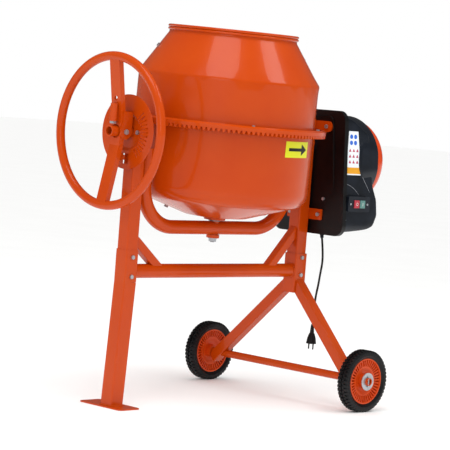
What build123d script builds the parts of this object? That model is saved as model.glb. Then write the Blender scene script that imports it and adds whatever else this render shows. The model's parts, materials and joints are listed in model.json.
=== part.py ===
from build123d import *
import math
import os

# Tilting-drum concrete mixer. Millimetres, +Z up. The layout is worked out about the drum's axis
# (x = 0) and the tilt axis (along X, y = 0), with +X toward the motor. At export everything is
# moved so that the origin lies on the floor under the middle of the overall length.

# ---- clearances ----
running = 0.05  # radial, a turning shaft or tube in its bearing
gap = 0.5  # between faces that pass each other
loose = 1.5  # round something that rocks or is dropped in

# ---- tilt axis ----
tilt_height = 844.0
trunnion_radius = 17.0
trunnion_wall = 4.0
full_tilt = 133.0  # degrees from upright to emptied, toward +Y
rest_lean = 2.0  # degrees that the tilting group leans toward -Y at rest, within its wide slot

# ---- drum ----
drum_radius = 287.0
drum_wall = 2.5
drum_floor = 593.0  # underside of the flat middle
drum_floor_radius = 100.0
drum_corner = 655.0  # where the bottom cone would meet the wall
drum_corner_round = 48.0
belt_line = 895.5  # where the two halves meet
drum_shoulder = 1036.0
shoulder_round = 22.0
neck_radius = 203.0
neck_start = 1163.0
mouth_ring_low = 1168.0
drum_top = 1186.0
bead_height = 5.0
flange_width = 26.0

# ---- ring gear and pinion ----
ring_teeth = 132
pinion_teeth = 14
ring_radius = 325.0
tooth_inner_radius = 296.0
tooth_land = 0.7  # left plain at each end of a tooth
pinion_outer = 320.0  # end of the pinion, along X
addendum_modules = 0.9
dedendum_modules = 1.1
pressure_angle = math.radians(20)
flank_play = 0.28
ring_rim_top = 899.0
gear_bolt_count = 6
gear_bolt_angle = -118.0
gear_bolt_radius_at = 303.0

# ---- spindle under the drum ----
spindle_radius = 12.5
stud_radius = 7.0
hub_radius = 28.0
hub_collar_radius = 34.5
hub_flange_radius = 60.0
hub_flange_thickness = 4.0
hub_bottom = 580.5
hub_height = 72.0
bearing_radius = 20.0
bearing_length = 14.0

# ---- yoke ----
yoke_tube_radius = 22.0
yoke_wall = 3.0
yoke_arm = 320.0  # centre line of an arm, along X
yoke_bottom = 554.0
yoke_bend = 133.0
yoke_arm_top = 794.0
ear_inner = 330.0
ear_thickness = 11.0
ear_cap = 4.0
ear_radius = 29.0
boss_radius = 15.0
boss_flange_radius = 21.0
boss_bottom = 522.0

# ---- stand ----
post_size = 46.0
post_wall = 3.0
corner_round = 4.0
left_post_x = -375.0
left_post_top = 882.0
left_post_bottom = 395.0
right_post_x = 386.5
right_post_top = 924.0
right_post_bottom = 352.0
leg_wall = 2.0
leg_sleeve_top = 485.0
leg_sleeve_bottom = 385.0
leg_foot_x = -393.0
foot_length = 189.0  # along Y
foot_width = 87.0
foot_thickness = 4.0
foot_offset = 9.0
cross_height = 417.4
cross_radius = 22.2
cross_wall = 3.0
brace_size = 28.0
brace_wall = 2.5
left_brace_high = (-352.0, 532.0)
left_brace_low = (-239.0, 440.0)
right_brace_low = (247.0, 440.0)
right_brace_high = (364.0, 566.0)
socket_wall = 3.5
socket_top = 475.0
socket_bottom = 345.0
axle_leg_size = 35.0
axle_leg_wall = 2.5
axle_leg_top = 366.0
sleeve_radius = 19.6
sleeve_overhang = 4.0

# ---- wheels ----
wheel_radius = 100.0
wheel_width = 41.0
wheel_track = 701.0
axle_x = 366.0
axle_radius = 12.5
axle_wall = 2.5
axle_length = 764.0
axle_leg_foot = 300.0  # where a leg meets the axle, along Y
wheel_room = 8.0  # between a leg and its wheel
tyre_inner = 74.0
rim_thickness = 4.0
rim_web = 5.0
wheel_hub_radius = 20.0
wheel_hub_length = 46.0
rim_ribs = 20
rib_thickness = 2.5
washer_radius = 28.5
washer_thickness = 2.5

# ---- locking disc ----
disc_radius = 114.0
disc_plane = -409.5  # inner face of the flat ring
disc_thickness = 3.0
disc_dish_radius = 60.0
disc_hole_radius = 24.0
disc_slots = 13
slot_inner = 61.0
slot_outer = 91.0
slot_width = 5.0
slot_high = full_tilt - 90  # degrees above horizontal, on the -Y side
park_slot_width = 25.0
park_slot_inner = 66.0
park_slot_outer = 97.0
disc_bolt_offset = 40.0
disc_bracket_thickness = 4.0

# ---- handwheel ----
rim_radius = 226.0
rim_tube_radius = 13.7
rim_wall = 2.0
rim_plane = -485.0
spoke_width = 42.0
spoke_wall = 2.5
spoke_depth = 18.0
spoke_hub_face = -461.0
spoke_rim_face = -496.0
spoke_flat_half = 42.0
pivot_x = -440.0
pivot_radius = 5.0
cheek_thickness = 3.0
cheek_end_radius = 23.0
cheek_top = 62.0
hub_tube_end = -488.0
lock_swing = 5.0  # degrees
tongue_thickness = 4.0
tongue_gap = 2.0  # from the disc, when let go
tongue_room = 5.0  # from the ends of the slots
tab_length = 11.0
spring_sleeve_radius = 11.5
spring_sleeve_low = 30.0
spring_sleeve_length = 54.0
spoke_hole_radius = 7.5
spoke_hole_height = 99.0

# ---- drive ----
plate_x = 415.5
plate_thickness = 2.0
plate_lip = 15.0
plate_bottom = 545.0
plate_top = 957.0
plate_near_bottom = -171.0
plate_near_top = -142.0
plate_far_bottom = 144.0
plate_far_top = 115.0
plate_round = 35.0
plate_hole_radius = 30.0
strap_thickness = 6.0
strap_height = 36.0
lower_strap_z = 610.0
lower_strap_half = 76.0
upper_strap_z = 902.0
upper_strap_half = 92.0
lower_strap_bolt = 62.0
upper_strap_bolt = 70.0
lone_bolt_y = -76.0
lone_bolt_z = 663.0
cover_wall = 3.0
cover_inset = 10.0
dome_z = 790.0
dome_radius = 145.0
dome_base = 595.0
dome_height = 88.0
dome_wall = 3.0
collar_radius = 155.0
collar_start = 500.0
motor_z = 642.0
motor_radius = 58.0
motor_face = 462.0
motor_length = 118.0
motor_shaft_radius = 8.0
belt_plane = 440.0
belt_width = 10.0
belt_height = 7.0
belt_play = 0.4
driven_radius = 77.0
motor_pulley_radius = 21.0
pulley_flange = 6.0
pulley_width = 18.0
shaft_radius = 10.0
mount_thickness = 6.0
mount_post_radius = 5.0

# ---- switch ----
switch_x = (437.0, 543.0)
switch_z = (629.0, 680.0)
switch_depth = 14.0
button_width = 24.0
button_height = 26.0
button_travel = 3.0
button_proud = 1.0  # left standing out when it is pressed

# ---- cord ----
cord_radius = 3.5
gland_radius = 6.0
gland_seat = 555.5  # just below the cover's bottom wall
cord_route = [
    (444.0, -58.0, 532.0),
    (444.0, -65.0, 497.0),
    (444.5, -69.0, 452.0),
    (445.0, -62.5, 414.0),
    (444.5, -58.5, 376.0),
    (444.0, -52.0, 340.0),
    (443.5, -49.0, 304.0),
    (443.8, -47.5, 270.0),
    (443.8, -47.5, 240.0),
]
plug_length = 34.0
plug_radius = 17.0
strain_length = 30.0
pin_radius = 2.4
pin_length = 19.0
pin_spacing = 19.0

# ---- mixing blades ----
blade_thickness = 4.0
blade_foot_radius = 160.0
blade_foot_angle = 147.0
blade_top_angle = 147.0
blade_top_z = 1115.0

# ---- fasteners ----
m8 = 4.0
m8_head = 6.8
m8_head_height = 5.5
m6 = 3.0
m6_head = 5.0
m6_head_height = 4.0

# ---- worked out ----
overall_low = hub_tube_end
overall_high = dome_base + dome_height
rim_low = rim_plane - rim_tube_radius
middle_x = (min(overall_low, rim_low) + overall_high) / 2
post_half = post_size / 2
plate_back = plate_x + plate_thickness
ear_outer = ear_inner + ear_thickness
trunnion_inner = trunnion_radius - trunnion_wall
tooth_slope = pinion_teeth / ring_teeth
lock_slope = math.sin(math.radians(lock_swing))
spoke_room = (pivot_x - spoke_hub_face) * lock_slope + loose
plunger_room = (pivot_x - hub_tube_end) * lock_slope + loose
axle_leg_reach = (wheel_track - wheel_width) / 2 - wheel_room


# ---------------------------------------------------------------- helpers
def export(name, *solids):
    """Moves the solids to the part's own frame and writes them as one node."""
    found = [one for shape in solids for one in shape.solids()]
    moved = [Location((-middle_x, 0, 0)) * one for one in found]
    export_step(moved[0] if len(moved) == 1 else Compound(children=moved), f"parts/{name}.step")


def export_leaning(name, *solids):
    """Turns the solids of the tilting group about the tilt axis by the rest lean, and writes them."""
    pivot = Location((0, 0, tilt_height))
    turn = pivot * Rot(rest_lean, 0, 0) * pivot.inverse()
    export(name, *[turn * one for shape in solids for one in shape.solids()])


def rod(start, end, radius):
    """Round bar from one point to another."""
    way = Vector(*end) - Vector(*start)
    return extrude(Plane(origin=start, z_dir=way) * Circle(radius), way.length)


def tube(start, end, outer, inner):
    """Round tube from one point to another."""
    way = Vector(*end) - Vector(*start)
    return extrude(Plane(origin=start, z_dir=way) * (Circle(outer) - Circle(inner)), way.length)


def block(low, high):
    """Square-cornered block between two opposite corners."""
    size = [high[i] - low[i] for i in range(3)]
    middle = [(high[i] + low[i]) / 2 for i in range(3)]
    return Location(middle) * Box(*size)


def square_bar(start, end, size, x_dir=(0, 1, 0), rounding=corner_round):
    """Square bar with rounded corners, full inside."""
    way = Vector(*end) - Vector(*start)
    plane = Plane(origin=start, x_dir=x_dir, z_dir=way)
    return extrude(plane * RectangleRounded(size, size, rounding), way.length)


def square_tube(start, end, size, wall, x_dir=(0, 1, 0), rounding=corner_round):
    """Square tube with rounded corners."""
    inner_round = max(rounding - wall, 0.5)
    inner = square_bar(start, end, size - 2 * wall, x_dir, inner_round)
    return square_bar(start, end, size, x_dir, rounding) - inner


def hexagon(start, end, corner_radius):
    """Six-sided bar, as a bolt head or a nut."""
    way = Vector(*end) - Vector(*start)
    return extrude(Plane(origin=start, z_dir=way) * RegularPolygon(corner_radius, 6), way.length)


def bolt(seat, way, grip, radius=m8, head=m8_head, height=m8_head_height, nut=True):
    """Hexagon bolt: its head sits on the seat, its shank runs the way given through the grip."""
    along = Vector(*way).normalized()
    base = Vector(*seat)
    tail = grip + (height + 2 if nut else 0)
    whole = hexagon(base - along * height, base, head) + rod(base, base + along * tail, radius)
    if nut:
        ring = hexagon(base + along * grip, base + along * (grip + height), head)
        whole += ring
    return whole


def plate_yz(outline, x_low, x_high):
    """Flat plate across X from an outline in (y, z)."""
    return extrude(Plane.YZ.offset(x_low) * make_face(outline), x_high - x_low)


def plate_xz(outline, y_low, y_high):
    """Flat plate across Y from an outline in (x, z)."""
    face = Plane.XZ.offset(-y_high) * make_face(outline)
    return extrude(face, y_high - y_low)


def turned(outline, axis=Axis.Z):
    """Solid of revolution about Z from an outline in (r, z)."""
    return revolve(Plane.XZ * make_face(outline), axis, 360)


def turned_x(outline, y, z):
    """Solid of revolution about a line along X from an outline in (x, r)."""
    solid = revolve(Plane.XZ * make_face(outline), Axis.X, 360)
    return Location((0, y, z)) * solid


def turned_y(outline, x, z, y=0.0):
    """Solid of revolution about a line along Y from an outline in (r, y)."""
    solid = revolve(Plane.XY * make_face(outline), Axis.Y, 360)
    return Location((x, y, z)) * solid


def ring_of(points):
    """Closed outline through the points."""
    return Polyline(*points, close=True)


def at_angle(radius, degrees, z):
    """Point at a radius and an angle about the drum's axis."""
    turn = math.radians(degrees)
    return Vector(radius * math.cos(turn), radius * math.sin(turn), z)


# ---------------------------------------------------------------- stand
def leg_x(z):
    """Middle of the leaning left leg at a height."""
    share = (leg_sleeve_bottom - z) / (leg_sleeve_bottom - foot_thickness)
    return left_post_x + (leg_foot_x - left_post_x) * share


def left_post():
    low = (left_post_x, 0, left_post_bottom)
    high = (left_post_x, 0, left_post_top)
    return square_tube(low, high, post_size, post_wall)


def right_post():
    low = (right_post_x, 0, right_post_bottom)
    high = (right_post_x, 0, right_post_top)
    return square_tube(low, high, post_size, post_wall)


def leg_body(solid):
    """The left leg: an upright sleeve above, a leaning length below."""
    size = post_size + 2 * leg_wall
    foot = (leg_x(0), 0, 0)
    bend = (left_post_x, 0, leg_sleeve_bottom)
    top = (left_post_x, 0, leg_sleeve_top)
    outer = square_bar(foot, bend, size) + square_bar(bend, top, size)
    outer -= block((leg_foot_x - 99, -99, -9), (leg_foot_x + 99, 99, foot_thickness))
    if solid:
        return outer
    below = (leg_x(-20), 0, -20)
    inner_size = post_size
    inner_round = corner_round
    inner = square_bar(below, bend, inner_size, rounding=inner_round)
    upper = square_bar(bend, (left_post_x, 0, leg_sleeve_top + 9), inner_size, rounding=inner_round)
    return outer - inner - upper


def foot_plate():
    low = (leg_foot_x - foot_width / 2, foot_offset - foot_length / 2, 0)
    high = (leg_foot_x + foot_width / 2, foot_offset + foot_length / 2, foot_thickness)
    return fillet(block(low, high).edges().filter_by(Axis.Z), 12)


def cross_tube():
    start = (left_post_x, 0, cross_height)
    end = (right_post_x - post_half - socket_wall, 0, cross_height)
    return tube(start, end, cross_radius, cross_radius - cross_wall) - leg_body(True)


def brace(low, high, side):
    """Square tube from the cross tube up to a post; low and high lie on its upper edge."""
    way = Vector(high[0] - low[0], 0, high[1] - low[1]).normalized()
    drop = Vector(way.Z, 0, -way.X) * (brace_size / 2 * side)
    start = Vector(low[0], 0, low[1]) + drop - way * 15
    end = Vector(high[0], 0, high[1]) + drop + way * 40
    bar = square_tube(start, end, brace_size, brace_wall, rounding=3)
    bar -= rod((-450, 0, cross_height), (450, 0, cross_height), cross_radius)
    inner = left_post_x + post_half if side < 0 else -999
    outer = right_post_x - post_half if side > 0 else 999
    return bar & block((inner, -50, 0), (outer, 50, 999))


def socket():
    """Sleeve of the wheel frame round the foot of the right post."""
    low = (right_post_x, 0, socket_bottom)
    high = (right_post_x, 0, socket_top)
    size = post_size + 2 * socket_wall
    return square_bar(low, high, size) - square_bar(low, high, post_size)


def axle_leg(side):
    """Leg from the socket's side down and out to the axle."""
    half = post_half + socket_wall
    top = (right_post_x, side * (half - 20), axle_leg_top + 20)
    reach = Vector(axle_x - right_post_x, side * (axle_leg_foot - half + 20), wheel_radius - axle_leg_top - 20)
    end = Vector(*top) + reach * 1.07
    leg = square_tube(top, end, axle_leg_size, axle_leg_wall, x_dir=(1, 0, 0), rounding=3)
    leg -= block((right_post_x - half, -half, 0), (right_post_x + half, half, 999))
    leg &= block((axle_x - 99, -axle_leg_reach, 0), (right_post_x + 99, axle_leg_reach, 999))
    return leg - rod((axle_x, -500, wheel_radius), (axle_x, 500, wheel_radius), axle_radius)


def axle():
    half = axle_length / 2
    ends = ((axle_x, -half, wheel_radius), (axle_x, half, wheel_radius))
    pipe = tube(ends[0], ends[1], axle_radius, axle_radius - axle_wall)
    for side in (-1, 1):
        y = side * pin_y()
        pipe -= rod((axle_x, y, wheel_radius - 30), (axle_x, y, wheel_radius + 30), 2.5)
    return pipe


def hub_end():
    """Outer face of a wheel's hub, from the middle plane."""
    return wheel_track / 2 + wheel_hub_length / 2 - 2


def pin_y():
    return hub_end() + gap + washer_thickness + 3


def frame_bolts():
    """Bolts of the leg sleeve and of the wheel frame's socket, with their nuts."""
    leg_half = post_half + leg_wall
    socket_half = post_half + socket_wall
    fixings = [
        (left_post_x, leg_half, 402.0),
        (left_post_x, leg_half, 462.0),
        (right_post_x, socket_half, 404.0),
        (right_post_x, socket_half, 462.0),
    ]
    return [bolt((x, -half, z), (0, 1, 0), 2 * half) for x, half, z in fixings]


def shank_holes(shape, x, zs, radius=m8):
    """The same bolts' holes, through everything along Y."""
    for z in zs:
        shape -= rod((x, -99, z), (x, 99, z), radius)
    return shape


def bearing_sleeve(post_x):
    low = post_x - post_half - sleeve_overhang
    high = post_x + post_half + sleeve_overhang
    return tube((low, 0, tilt_height), (high, 0, tilt_height), sleeve_radius, trunnion_radius + running)


# ---------------------------------------------------------------- locking disc
def disc_bracket():
    """Plate welded to the outside of the left post, which carries the disc."""
    face = left_post_x - post_half
    half = disc_bolt_offset + 13
    plate = block((face - disc_bracket_thickness, -half, tilt_height - 26), (face, half, tilt_height + 26))
    plate = fillet(plate.edges().filter_by(Axis.X), 12)
    plate -= rod((face - 20, 0, tilt_height), (face + 20, 0, tilt_height), sleeve_radius)
    return plate - disc_bolt_holes()


def disc_bolt_holes():
    holes = []
    for side in (-1, 1):
        y = side * disc_bolt_offset
        holes.append(rod((disc_plane - 20, y, tilt_height), (left_post_x - post_half + 9, y, tilt_height), m8))
    return holes


def locking_disc():
    """Dished disc with a row of radial slots and one wide slot, which hold the drum's tilt."""
    seat = left_post_x - post_half - disc_bracket_thickness
    t = disc_thickness
    points = [
        (seat, disc_hole_radius),
        (seat, disc_dish_radius - 10),
        (disc_plane, disc_dish_radius),
        (disc_plane, disc_radius),
        (disc_plane - t, disc_radius),
        (disc_plane - t, disc_dish_radius - 1.5),
        (seat - t, disc_dish_radius - 11.5),
        (seat - t, disc_hole_radius),
    ]
    disc = turned_x(ring_of(points), 0, tilt_height)
    deep = (disc_plane - 20, disc_plane + 20)
    cuts = []
    for step in range(disc_slots):
        angle = slot_high + (step * -100.0) / (disc_slots - 1)
        cut = block((deep[0], slot_inner, -slot_width / 2), (deep[1], slot_outer, slot_width / 2))
        cuts.append(Location((0, 0, tilt_height)) * Rot(180 - angle, 0, 0) * cut)
    half = park_slot_width / 2
    low = (deep[0], -half, tilt_height - park_slot_outer)
    cuts.append(block(low, (deep[1], half, tilt_height - park_slot_inner)))
    return disc - cuts - disc_bolt_holes()


def disc_bolts():
    seat = left_post_x - post_half - disc_bracket_thickness - disc_thickness
    grip = disc_thickness + disc_bracket_thickness
    return [bolt((seat, s * disc_bolt_offset, tilt_height), (1, 0, 0), grip) for s in (-1, 1)]


# ---------------------------------------------------------------- yoke
def yoke_path():
    corner = (yoke_arm, yoke_bottom)
    points = [(-yoke_arm, yoke_arm_top), (-corner[0], corner[1]), corner, (yoke_arm, yoke_arm_top)]
    return FilletPolyline(*[(x, 0, z) for x, z in points], radius=yoke_bend)


def swept(path, radius):
    return sweep(Plane(origin=path @ 0, z_dir=path % 0) * Circle(radius), path)


def yoke_tube():
    path = yoke_path()
    pipe = swept(path, yoke_tube_radius) - swept(path, yoke_tube_radius - yoke_wall)
    top = yoke_bottom + yoke_tube_radius
    return pipe - rod((0, 0, boss_bottom - 9), (0, 0, top + 9), boss_radius)


def ear(side):
    """End cap of a yoke arm with an upright plate round the trunnion."""
    foot = yoke_arm_top + ear_cap
    x_low, x_high = sorted((side * ear_inner, side * ear_outer))
    cap = rod((side * yoke_arm, 0, yoke_arm_top), (side * yoke_arm, 0, foot), yoke_tube_radius)
    wide = yoke_tube_radius - 6
    upright = block((x_low, -wide, yoke_arm_top + 1), (x_high, wide, tilt_height))
    upright += rod((x_low, 0, tilt_height), (x_high, 0, tilt_height), ear_radius)
    upright &= block((x_low, -99, yoke_arm_top), (x_high, 99, 999))
    keep = rod((side * yoke_arm, 0, yoke_arm_top), (side * yoke_arm, 0, foot), yoke_tube_radius)
    lower = (upright & block((-999, -99, 0), (999, 99, foot))) & keep
    upper = upright & block((-999, -99, foot), (999, 99, 999))
    whole = cap + lower + upper
    return whole - rod((-999, 0, tilt_height), (999, 0, tilt_height), trunnion_radius)


def trunnion(side):
    if side < 0:
        start, end = -ear_inner, hub_tube_end
    else:
        start, end = ear_inner, right_post_x + post_half + sleeve_overhang + 2
    pipe = tube((start, 0, tilt_height), (end, 0, tilt_height), trunnion_radius, trunnion_inner)
    if side < 0:
        pipe -= rod((pivot_x, -40, tilt_height), (pivot_x, 40, tilt_height), pivot_radius + running)
    return pipe


def shaft_bushes():
    """Two plain bushes in the right trunnion, for the pinion's shaft."""
    end = right_post_x + post_half + sleeve_overhang + 2
    pairs = ((ear_inner, ear_inner + 22), (end - 22, end))
    bore = shaft_radius + running
    return [tube((a, 0, tilt_height), (b, 0, tilt_height), trunnion_inner, bore) for a, b in pairs]


def centre_boss():
    top = yoke_bottom + yoke_tube_radius
    underside = yoke_bottom - yoke_tube_radius
    boss = rod((0, 0, boss_bottom), (0, 0, top), boss_radius)
    boss += rod((0, 0, boss_bottom), (0, 0, underside), boss_flange_radius)
    return boss - rod((0, 0, boss_bottom), (0, 0, top), stud_radius)


def spindle():
    """Fixed spindle that the drum turns on, with its threaded stud through the boss."""
    top = yoke_bottom + yoke_tube_radius
    pin = rod((0, 0, boss_bottom - 14), (0, 0, top), stud_radius)
    pin += rod((0, 0, top), (0, 0, hub_bottom - gap), 19)
    return pin + rod((0, 0, hub_bottom - gap), (0, 0, hub_bottom + hub_height - 12), spindle_radius)


def spindle_nut():
    """Washer and nut under the boss."""
    washer = tube((0, 0, boss_bottom - 3), (0, 0, boss_bottom), 15, stud_radius)
    nut = hexagon((0, 0, boss_bottom - 12), (0, 0, boss_bottom - 3), 12.7)
    return washer, nut - rod((0, 0, boss_bottom - 20), (0, 0, boss_bottom), stud_radius)


# ---------------------------------------------------------------- drum
def shell(points, radii, wall):
    """Turned shell: the points are its outer line in (r, z), the wall lies inside it."""
    outer = FilletPolyline(*points, radius=radii)
    band = offset(outer, amount=wall, side=Side.LEFT)
    return turned(band)


def drum_lower():
    """Lower half of the drum: flat middle, shallow cone, rounded corner, wall and flange."""
    points = [
        (hub_radius, drum_floor),
        (drum_floor_radius, drum_floor),
        (drum_radius, drum_corner),
        (drum_radius, belt_line - drum_wall),
        (drum_radius + flange_width, belt_line - drum_wall),
    ]
    body = shell(points, [30, drum_corner_round, 1.0], drum_wall)
    return body - gear_bolt_holes() - blade_bolt_holes(0)


def drum_upper():
    """Upper half of the drum: flange, wall, rounded shoulder, cone and neck."""
    points = [
        (drum_radius + flange_width, belt_line),
        (drum_radius - drum_wall, belt_line),
        (drum_radius - drum_wall, drum_shoulder - 1.5),
        (neck_radius - drum_wall, neck_start),
        (neck_radius - drum_wall, drum_top - 4),
    ]
    outer = FilletPolyline(*points, radius=[1.0, shoulder_round - drum_wall, 14.0])
    body = turned(offset(outer, amount=drum_wall, side=Side.RIGHT))
    return body - gear_bolt_holes() - blade_bolt_holes(1)


def mouth_ring():
    """Beaded hoop round the drum's mouth."""
    bead = (drum_top - mouth_ring_low) / 2
    foot = neck_radius + 0.6
    edges = [Line((neck_radius, drum_top), (neck_radius, mouth_ring_low))]
    edges.append(Line((neck_radius, mouth_ring_low), (foot, mouth_ring_low)))
    for low in (mouth_ring_low, mouth_ring_low + bead):
        crest = (neck_radius + bead_height, low + bead / 2)
        edges.append(ThreePointArc((foot, low), crest, (foot, low + bead)))
    edges.append(Line((foot, drum_top), (neck_radius, drum_top)))
    return turned(edges)


def gear_module(radius):
    """Tooth module at a distance from the point where the two gears' axes meet."""
    return 2 * radius / ring_teeth


def ring_blank(radius):
    """Height of the bottom of the tooth gaps at a radius."""
    return tilt_height + tooth_slope * radius + dedendum_modules * gear_module(radius)


def ring_tooth_face(radius):
    """One tooth's outline on the upright plane at a radius, pointing down."""
    module = gear_module(radius)
    pitch_z = tilt_height + tooth_slope * radius
    half = math.pi * module / 4 - flank_play / 2
    tan = math.tan(pressure_angle)
    tip = addendum_modules * module
    root = dedendum_modules * module + 1.0
    points = [
        (-half - root * tan, pitch_z + root),
        (-half + tip * tan, pitch_z - tip),
        (half - tip * tan, pitch_z - tip),
        (half + root * tan, pitch_z + root),
    ]
    return Plane.YZ.offset(radius) * make_face(ring_of(points))


def ring_gear():
    """Toothed ring under the drum's flange, its teeth pointing down."""
    inner = drum_radius + 1
    flange = drum_radius + flange_width + 1
    top = belt_line - drum_wall
    points = [
        (inner, ring_blank(inner) + 1),
        (tooth_inner_radius, ring_blank(tooth_inner_radius)),
        (ring_radius, ring_blank(ring_radius)),
        (ring_radius, top + 1),
        (flange + 2, ring_rim_top),
        (flange, ring_rim_top),
        (flange, top),
        (inner, top),
    ]
    gear = turned(ring_of(points))
    ends = (tooth_inner_radius + tooth_land, ring_radius - tooth_land)
    tooth = loft([ring_tooth_face(radius) for radius in ends], ruled=True)
    pitch = 360 / ring_teeth
    teeth = [Rot(0, 0, (index + 0.5) * pitch) * tooth for index in range(ring_teeth)]
    return gear.fuse(*teeth) - gear_bolt_holes()


def gear_bolt_places():
    step = 360 / gear_bolt_count
    return [gear_bolt_angle + index * step for index in range(gear_bolt_count)]


def gear_bolt_holes():
    low, high = belt_line - 9, belt_line + 9
    return [
        rod(at_angle(gear_bolt_radius_at, a, low), at_angle(gear_bolt_radius_at, a, high), m6)
        for a in gear_bolt_places()
    ]


def gear_bolts():
    """Short bolts from the flanges into the ring gear."""
    seat = belt_line + drum_wall
    grip = 2 * drum_wall + (belt_line - drum_wall) - (belt_line - 9)
    made = []
    for angle in gear_bolt_places():
        place = at_angle(gear_bolt_radius_at, angle, seat)
        made.append(bolt(place, (0, 0, -1), grip, m6, m6_head, m6_head_height, nut=False))
    return made


def drum_hub():
    """Hub under and inside the drum, with its collar and its welded flange."""
    top = hub_bottom + hub_height
    flange_low = drum_floor - hub_flange_thickness
    hub = rod((0, 0, hub_bottom), (0, 0, top), hub_radius)
    hub += rod((0, 0, hub_bottom), (0, 0, flange_low), hub_collar_radius)
    hub += rod((0, 0, flange_low), (0, 0, drum_floor), hub_flange_radius)
    return hub - rod((0, 0, hub_bottom), (0, 0, top - 6), bearing_radius)


def drum_bearings():
    low = hub_bottom + 1
    high = hub_bottom + hub_height - 13 - bearing_length
    bore = spindle_radius + running
    return [tube((0, 0, z), (0, 0, z + bearing_length), bearing_radius, bore) for z in (low, high)]


# ---------------------------------------------------------------- mixing blades
def cone_normal(radius, angle, low_end):
    """Outward direction of the drum's wall on its bottom cone or its top cone."""
    if low_end:
        rise = (drum_corner - drum_floor) / (drum_radius - drum_floor_radius)
        lean = Vector(rise, 0, -1)
    else:
        run = (drum_radius - neck_radius) / (neck_start - drum_shoulder)
        lean = Vector(1, 0, run)
    return (Rot(0, 0, angle) * Vertex(*lean.normalized())).center().normalized()


def blade_anchor(end):
    """Bolt's place on the drum's outside and the outward direction there; end 0 is the foot."""
    if end == 0:
        rise = (drum_corner - drum_floor) / (drum_radius - drum_floor_radius)
        z = drum_floor + rise * (blade_foot_radius - drum_floor_radius)
        place = at_angle(blade_foot_radius, blade_foot_angle, z)
        return place, cone_normal(blade_foot_radius, blade_foot_angle, True)
    slope = (neck_start - drum_shoulder) / (drum_radius - neck_radius)
    radius = drum_radius - (blade_top_z - drum_shoulder) / slope
    return at_angle(radius, blade_top_angle, blade_top_z), cone_normal(radius, blade_top_angle, False)


def blade_bolt_holes(end):
    place, out = blade_anchor(end)
    hole = rod(place + out * 12, place - out * 14, m8)
    return [hole, Rot(0, 0, 180) * hole]


def blade(turn):
    """Mixing blade: an upright paddle with a bolted tab at each end."""
    foot, foot_out = blade_anchor(0)
    top, top_out = blade_anchor(1)
    along = Vector(top.X - foot.X, top.Y - foot.Y, 0)
    reach = along.length
    plane = Plane(origin=(foot.X, foot.Y, 0), x_dir=along, z_dir=along.cross(Vector(0, 0, 1)))
    lift = foot.Z + 9
    points = [
        (-14, lift),
        (14, lift + 1),
        (reach + 2, drum_corner + 42),
        (reach + 26, drum_corner + 100),
        (reach + 26, drum_shoulder - 40),
        (reach + 4, top.Z - 14),
        (reach - 22, top.Z - 8),
        (reach - 48, drum_shoulder - 60),
        (reach - 48, drum_corner + 130),
        (-14, lift + 46),
    ]
    outline = plane * make_face(ring_of(points))
    paddle = extrude(outline, blade_thickness / 2, both=True)
    tabs = []
    for place, out in ((foot, foot_out), (top, top_out)):
        seat = Plane(origin=place - out * (drum_wall + 1.2), x_dir=along, z_dir=out * -1)
        tabs.append(extrude(seat * RectangleRounded(46, 34, 8), 4))
    holes = [rod(place + out * 12, place - out * 60, m8) for place, out in ((foot, foot_out), (top, top_out))]
    whole = paddle
    for place, out in ((foot, foot_out), (top, top_out)):
        clear = Plane(origin=place - out * (drum_wall + 1.2), x_dir=along, z_dir=out)
        whole -= extrude(clear * Rectangle(90, 90), 60)
        nut_room = Plane(origin=place - out * (drum_wall + 5.2), x_dir=along, z_dir=out * -1)
        whole -= extrude(nut_room * Circle(10), 12)
    whole = whole + tabs[0] + tabs[1] - holes
    return Rot(0, 0, turn) * whole


def blade_bolts():
    """Bolts through the drum's wall that hold the blades."""
    made = []
    for end in (0, 1):
        place, out = blade_anchor(end)
        one = bolt(place + out * 0.4, out * -1, 0.4 + drum_wall + 1.2 + 4)
        made += [one, Rot(0, 0, 180) * one]
    return made


# ---------------------------------------------------------------- handwheel
def handwheel_rim():
    place = Location((rim_plane, 0, tilt_height)) * Rot(0, 90, 0)
    return place * (Torus(rim_radius, rim_tube_radius) - Torus(rim_radius, rim_tube_radius - rim_wall))


def spoke_line(shift):
    """Outer face of the spoke in (x, z), moved inward along X by shift."""
    end = rim_radius + 2
    flat = spoke_flat_half
    return [
        (spoke_rim_face + shift, tilt_height + end),
        (spoke_hub_face + shift, tilt_height + flat),
        (spoke_hub_face + shift, tilt_height - flat),
        (spoke_rim_face + shift, tilt_height - end),
    ]


def handwheel_spoke():
    """Pressed channel across the wheel, dished in toward the hub."""
    half = spoke_width / 2
    outer = spoke_line(0) + spoke_line(spoke_depth)[::-1]
    inner = spoke_line(spoke_wall) + spoke_line(spoke_depth + 9)[::-1]
    channel = plate_xz(ring_of(outer), -half, half)
    channel -= plate_xz(ring_of(inner), -half + spoke_wall, half - spoke_wall)
    channel -= Location((rim_plane, 0, tilt_height)) * Rot(0, 90, 0) * Torus(rim_radius, rim_tube_radius)
    cylinder = rod((-600, 0, tilt_height), (-300, 0, tilt_height), rim_radius)
    channel &= cylinder
    room = trunnion_radius + spoke_room
    channel -= rod((-600, 0, tilt_height), (pivot_x, 0, tilt_height), room)
    z = tilt_height + spoke_hole_height
    channel -= rod((-600, 0, z), (-300, 0, z), spoke_hole_radius)
    return channel - pivot_hole()


def pivot_hole():
    return rod((pivot_x, -60, tilt_height), (pivot_x, 60, tilt_height), pivot_radius)


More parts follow.
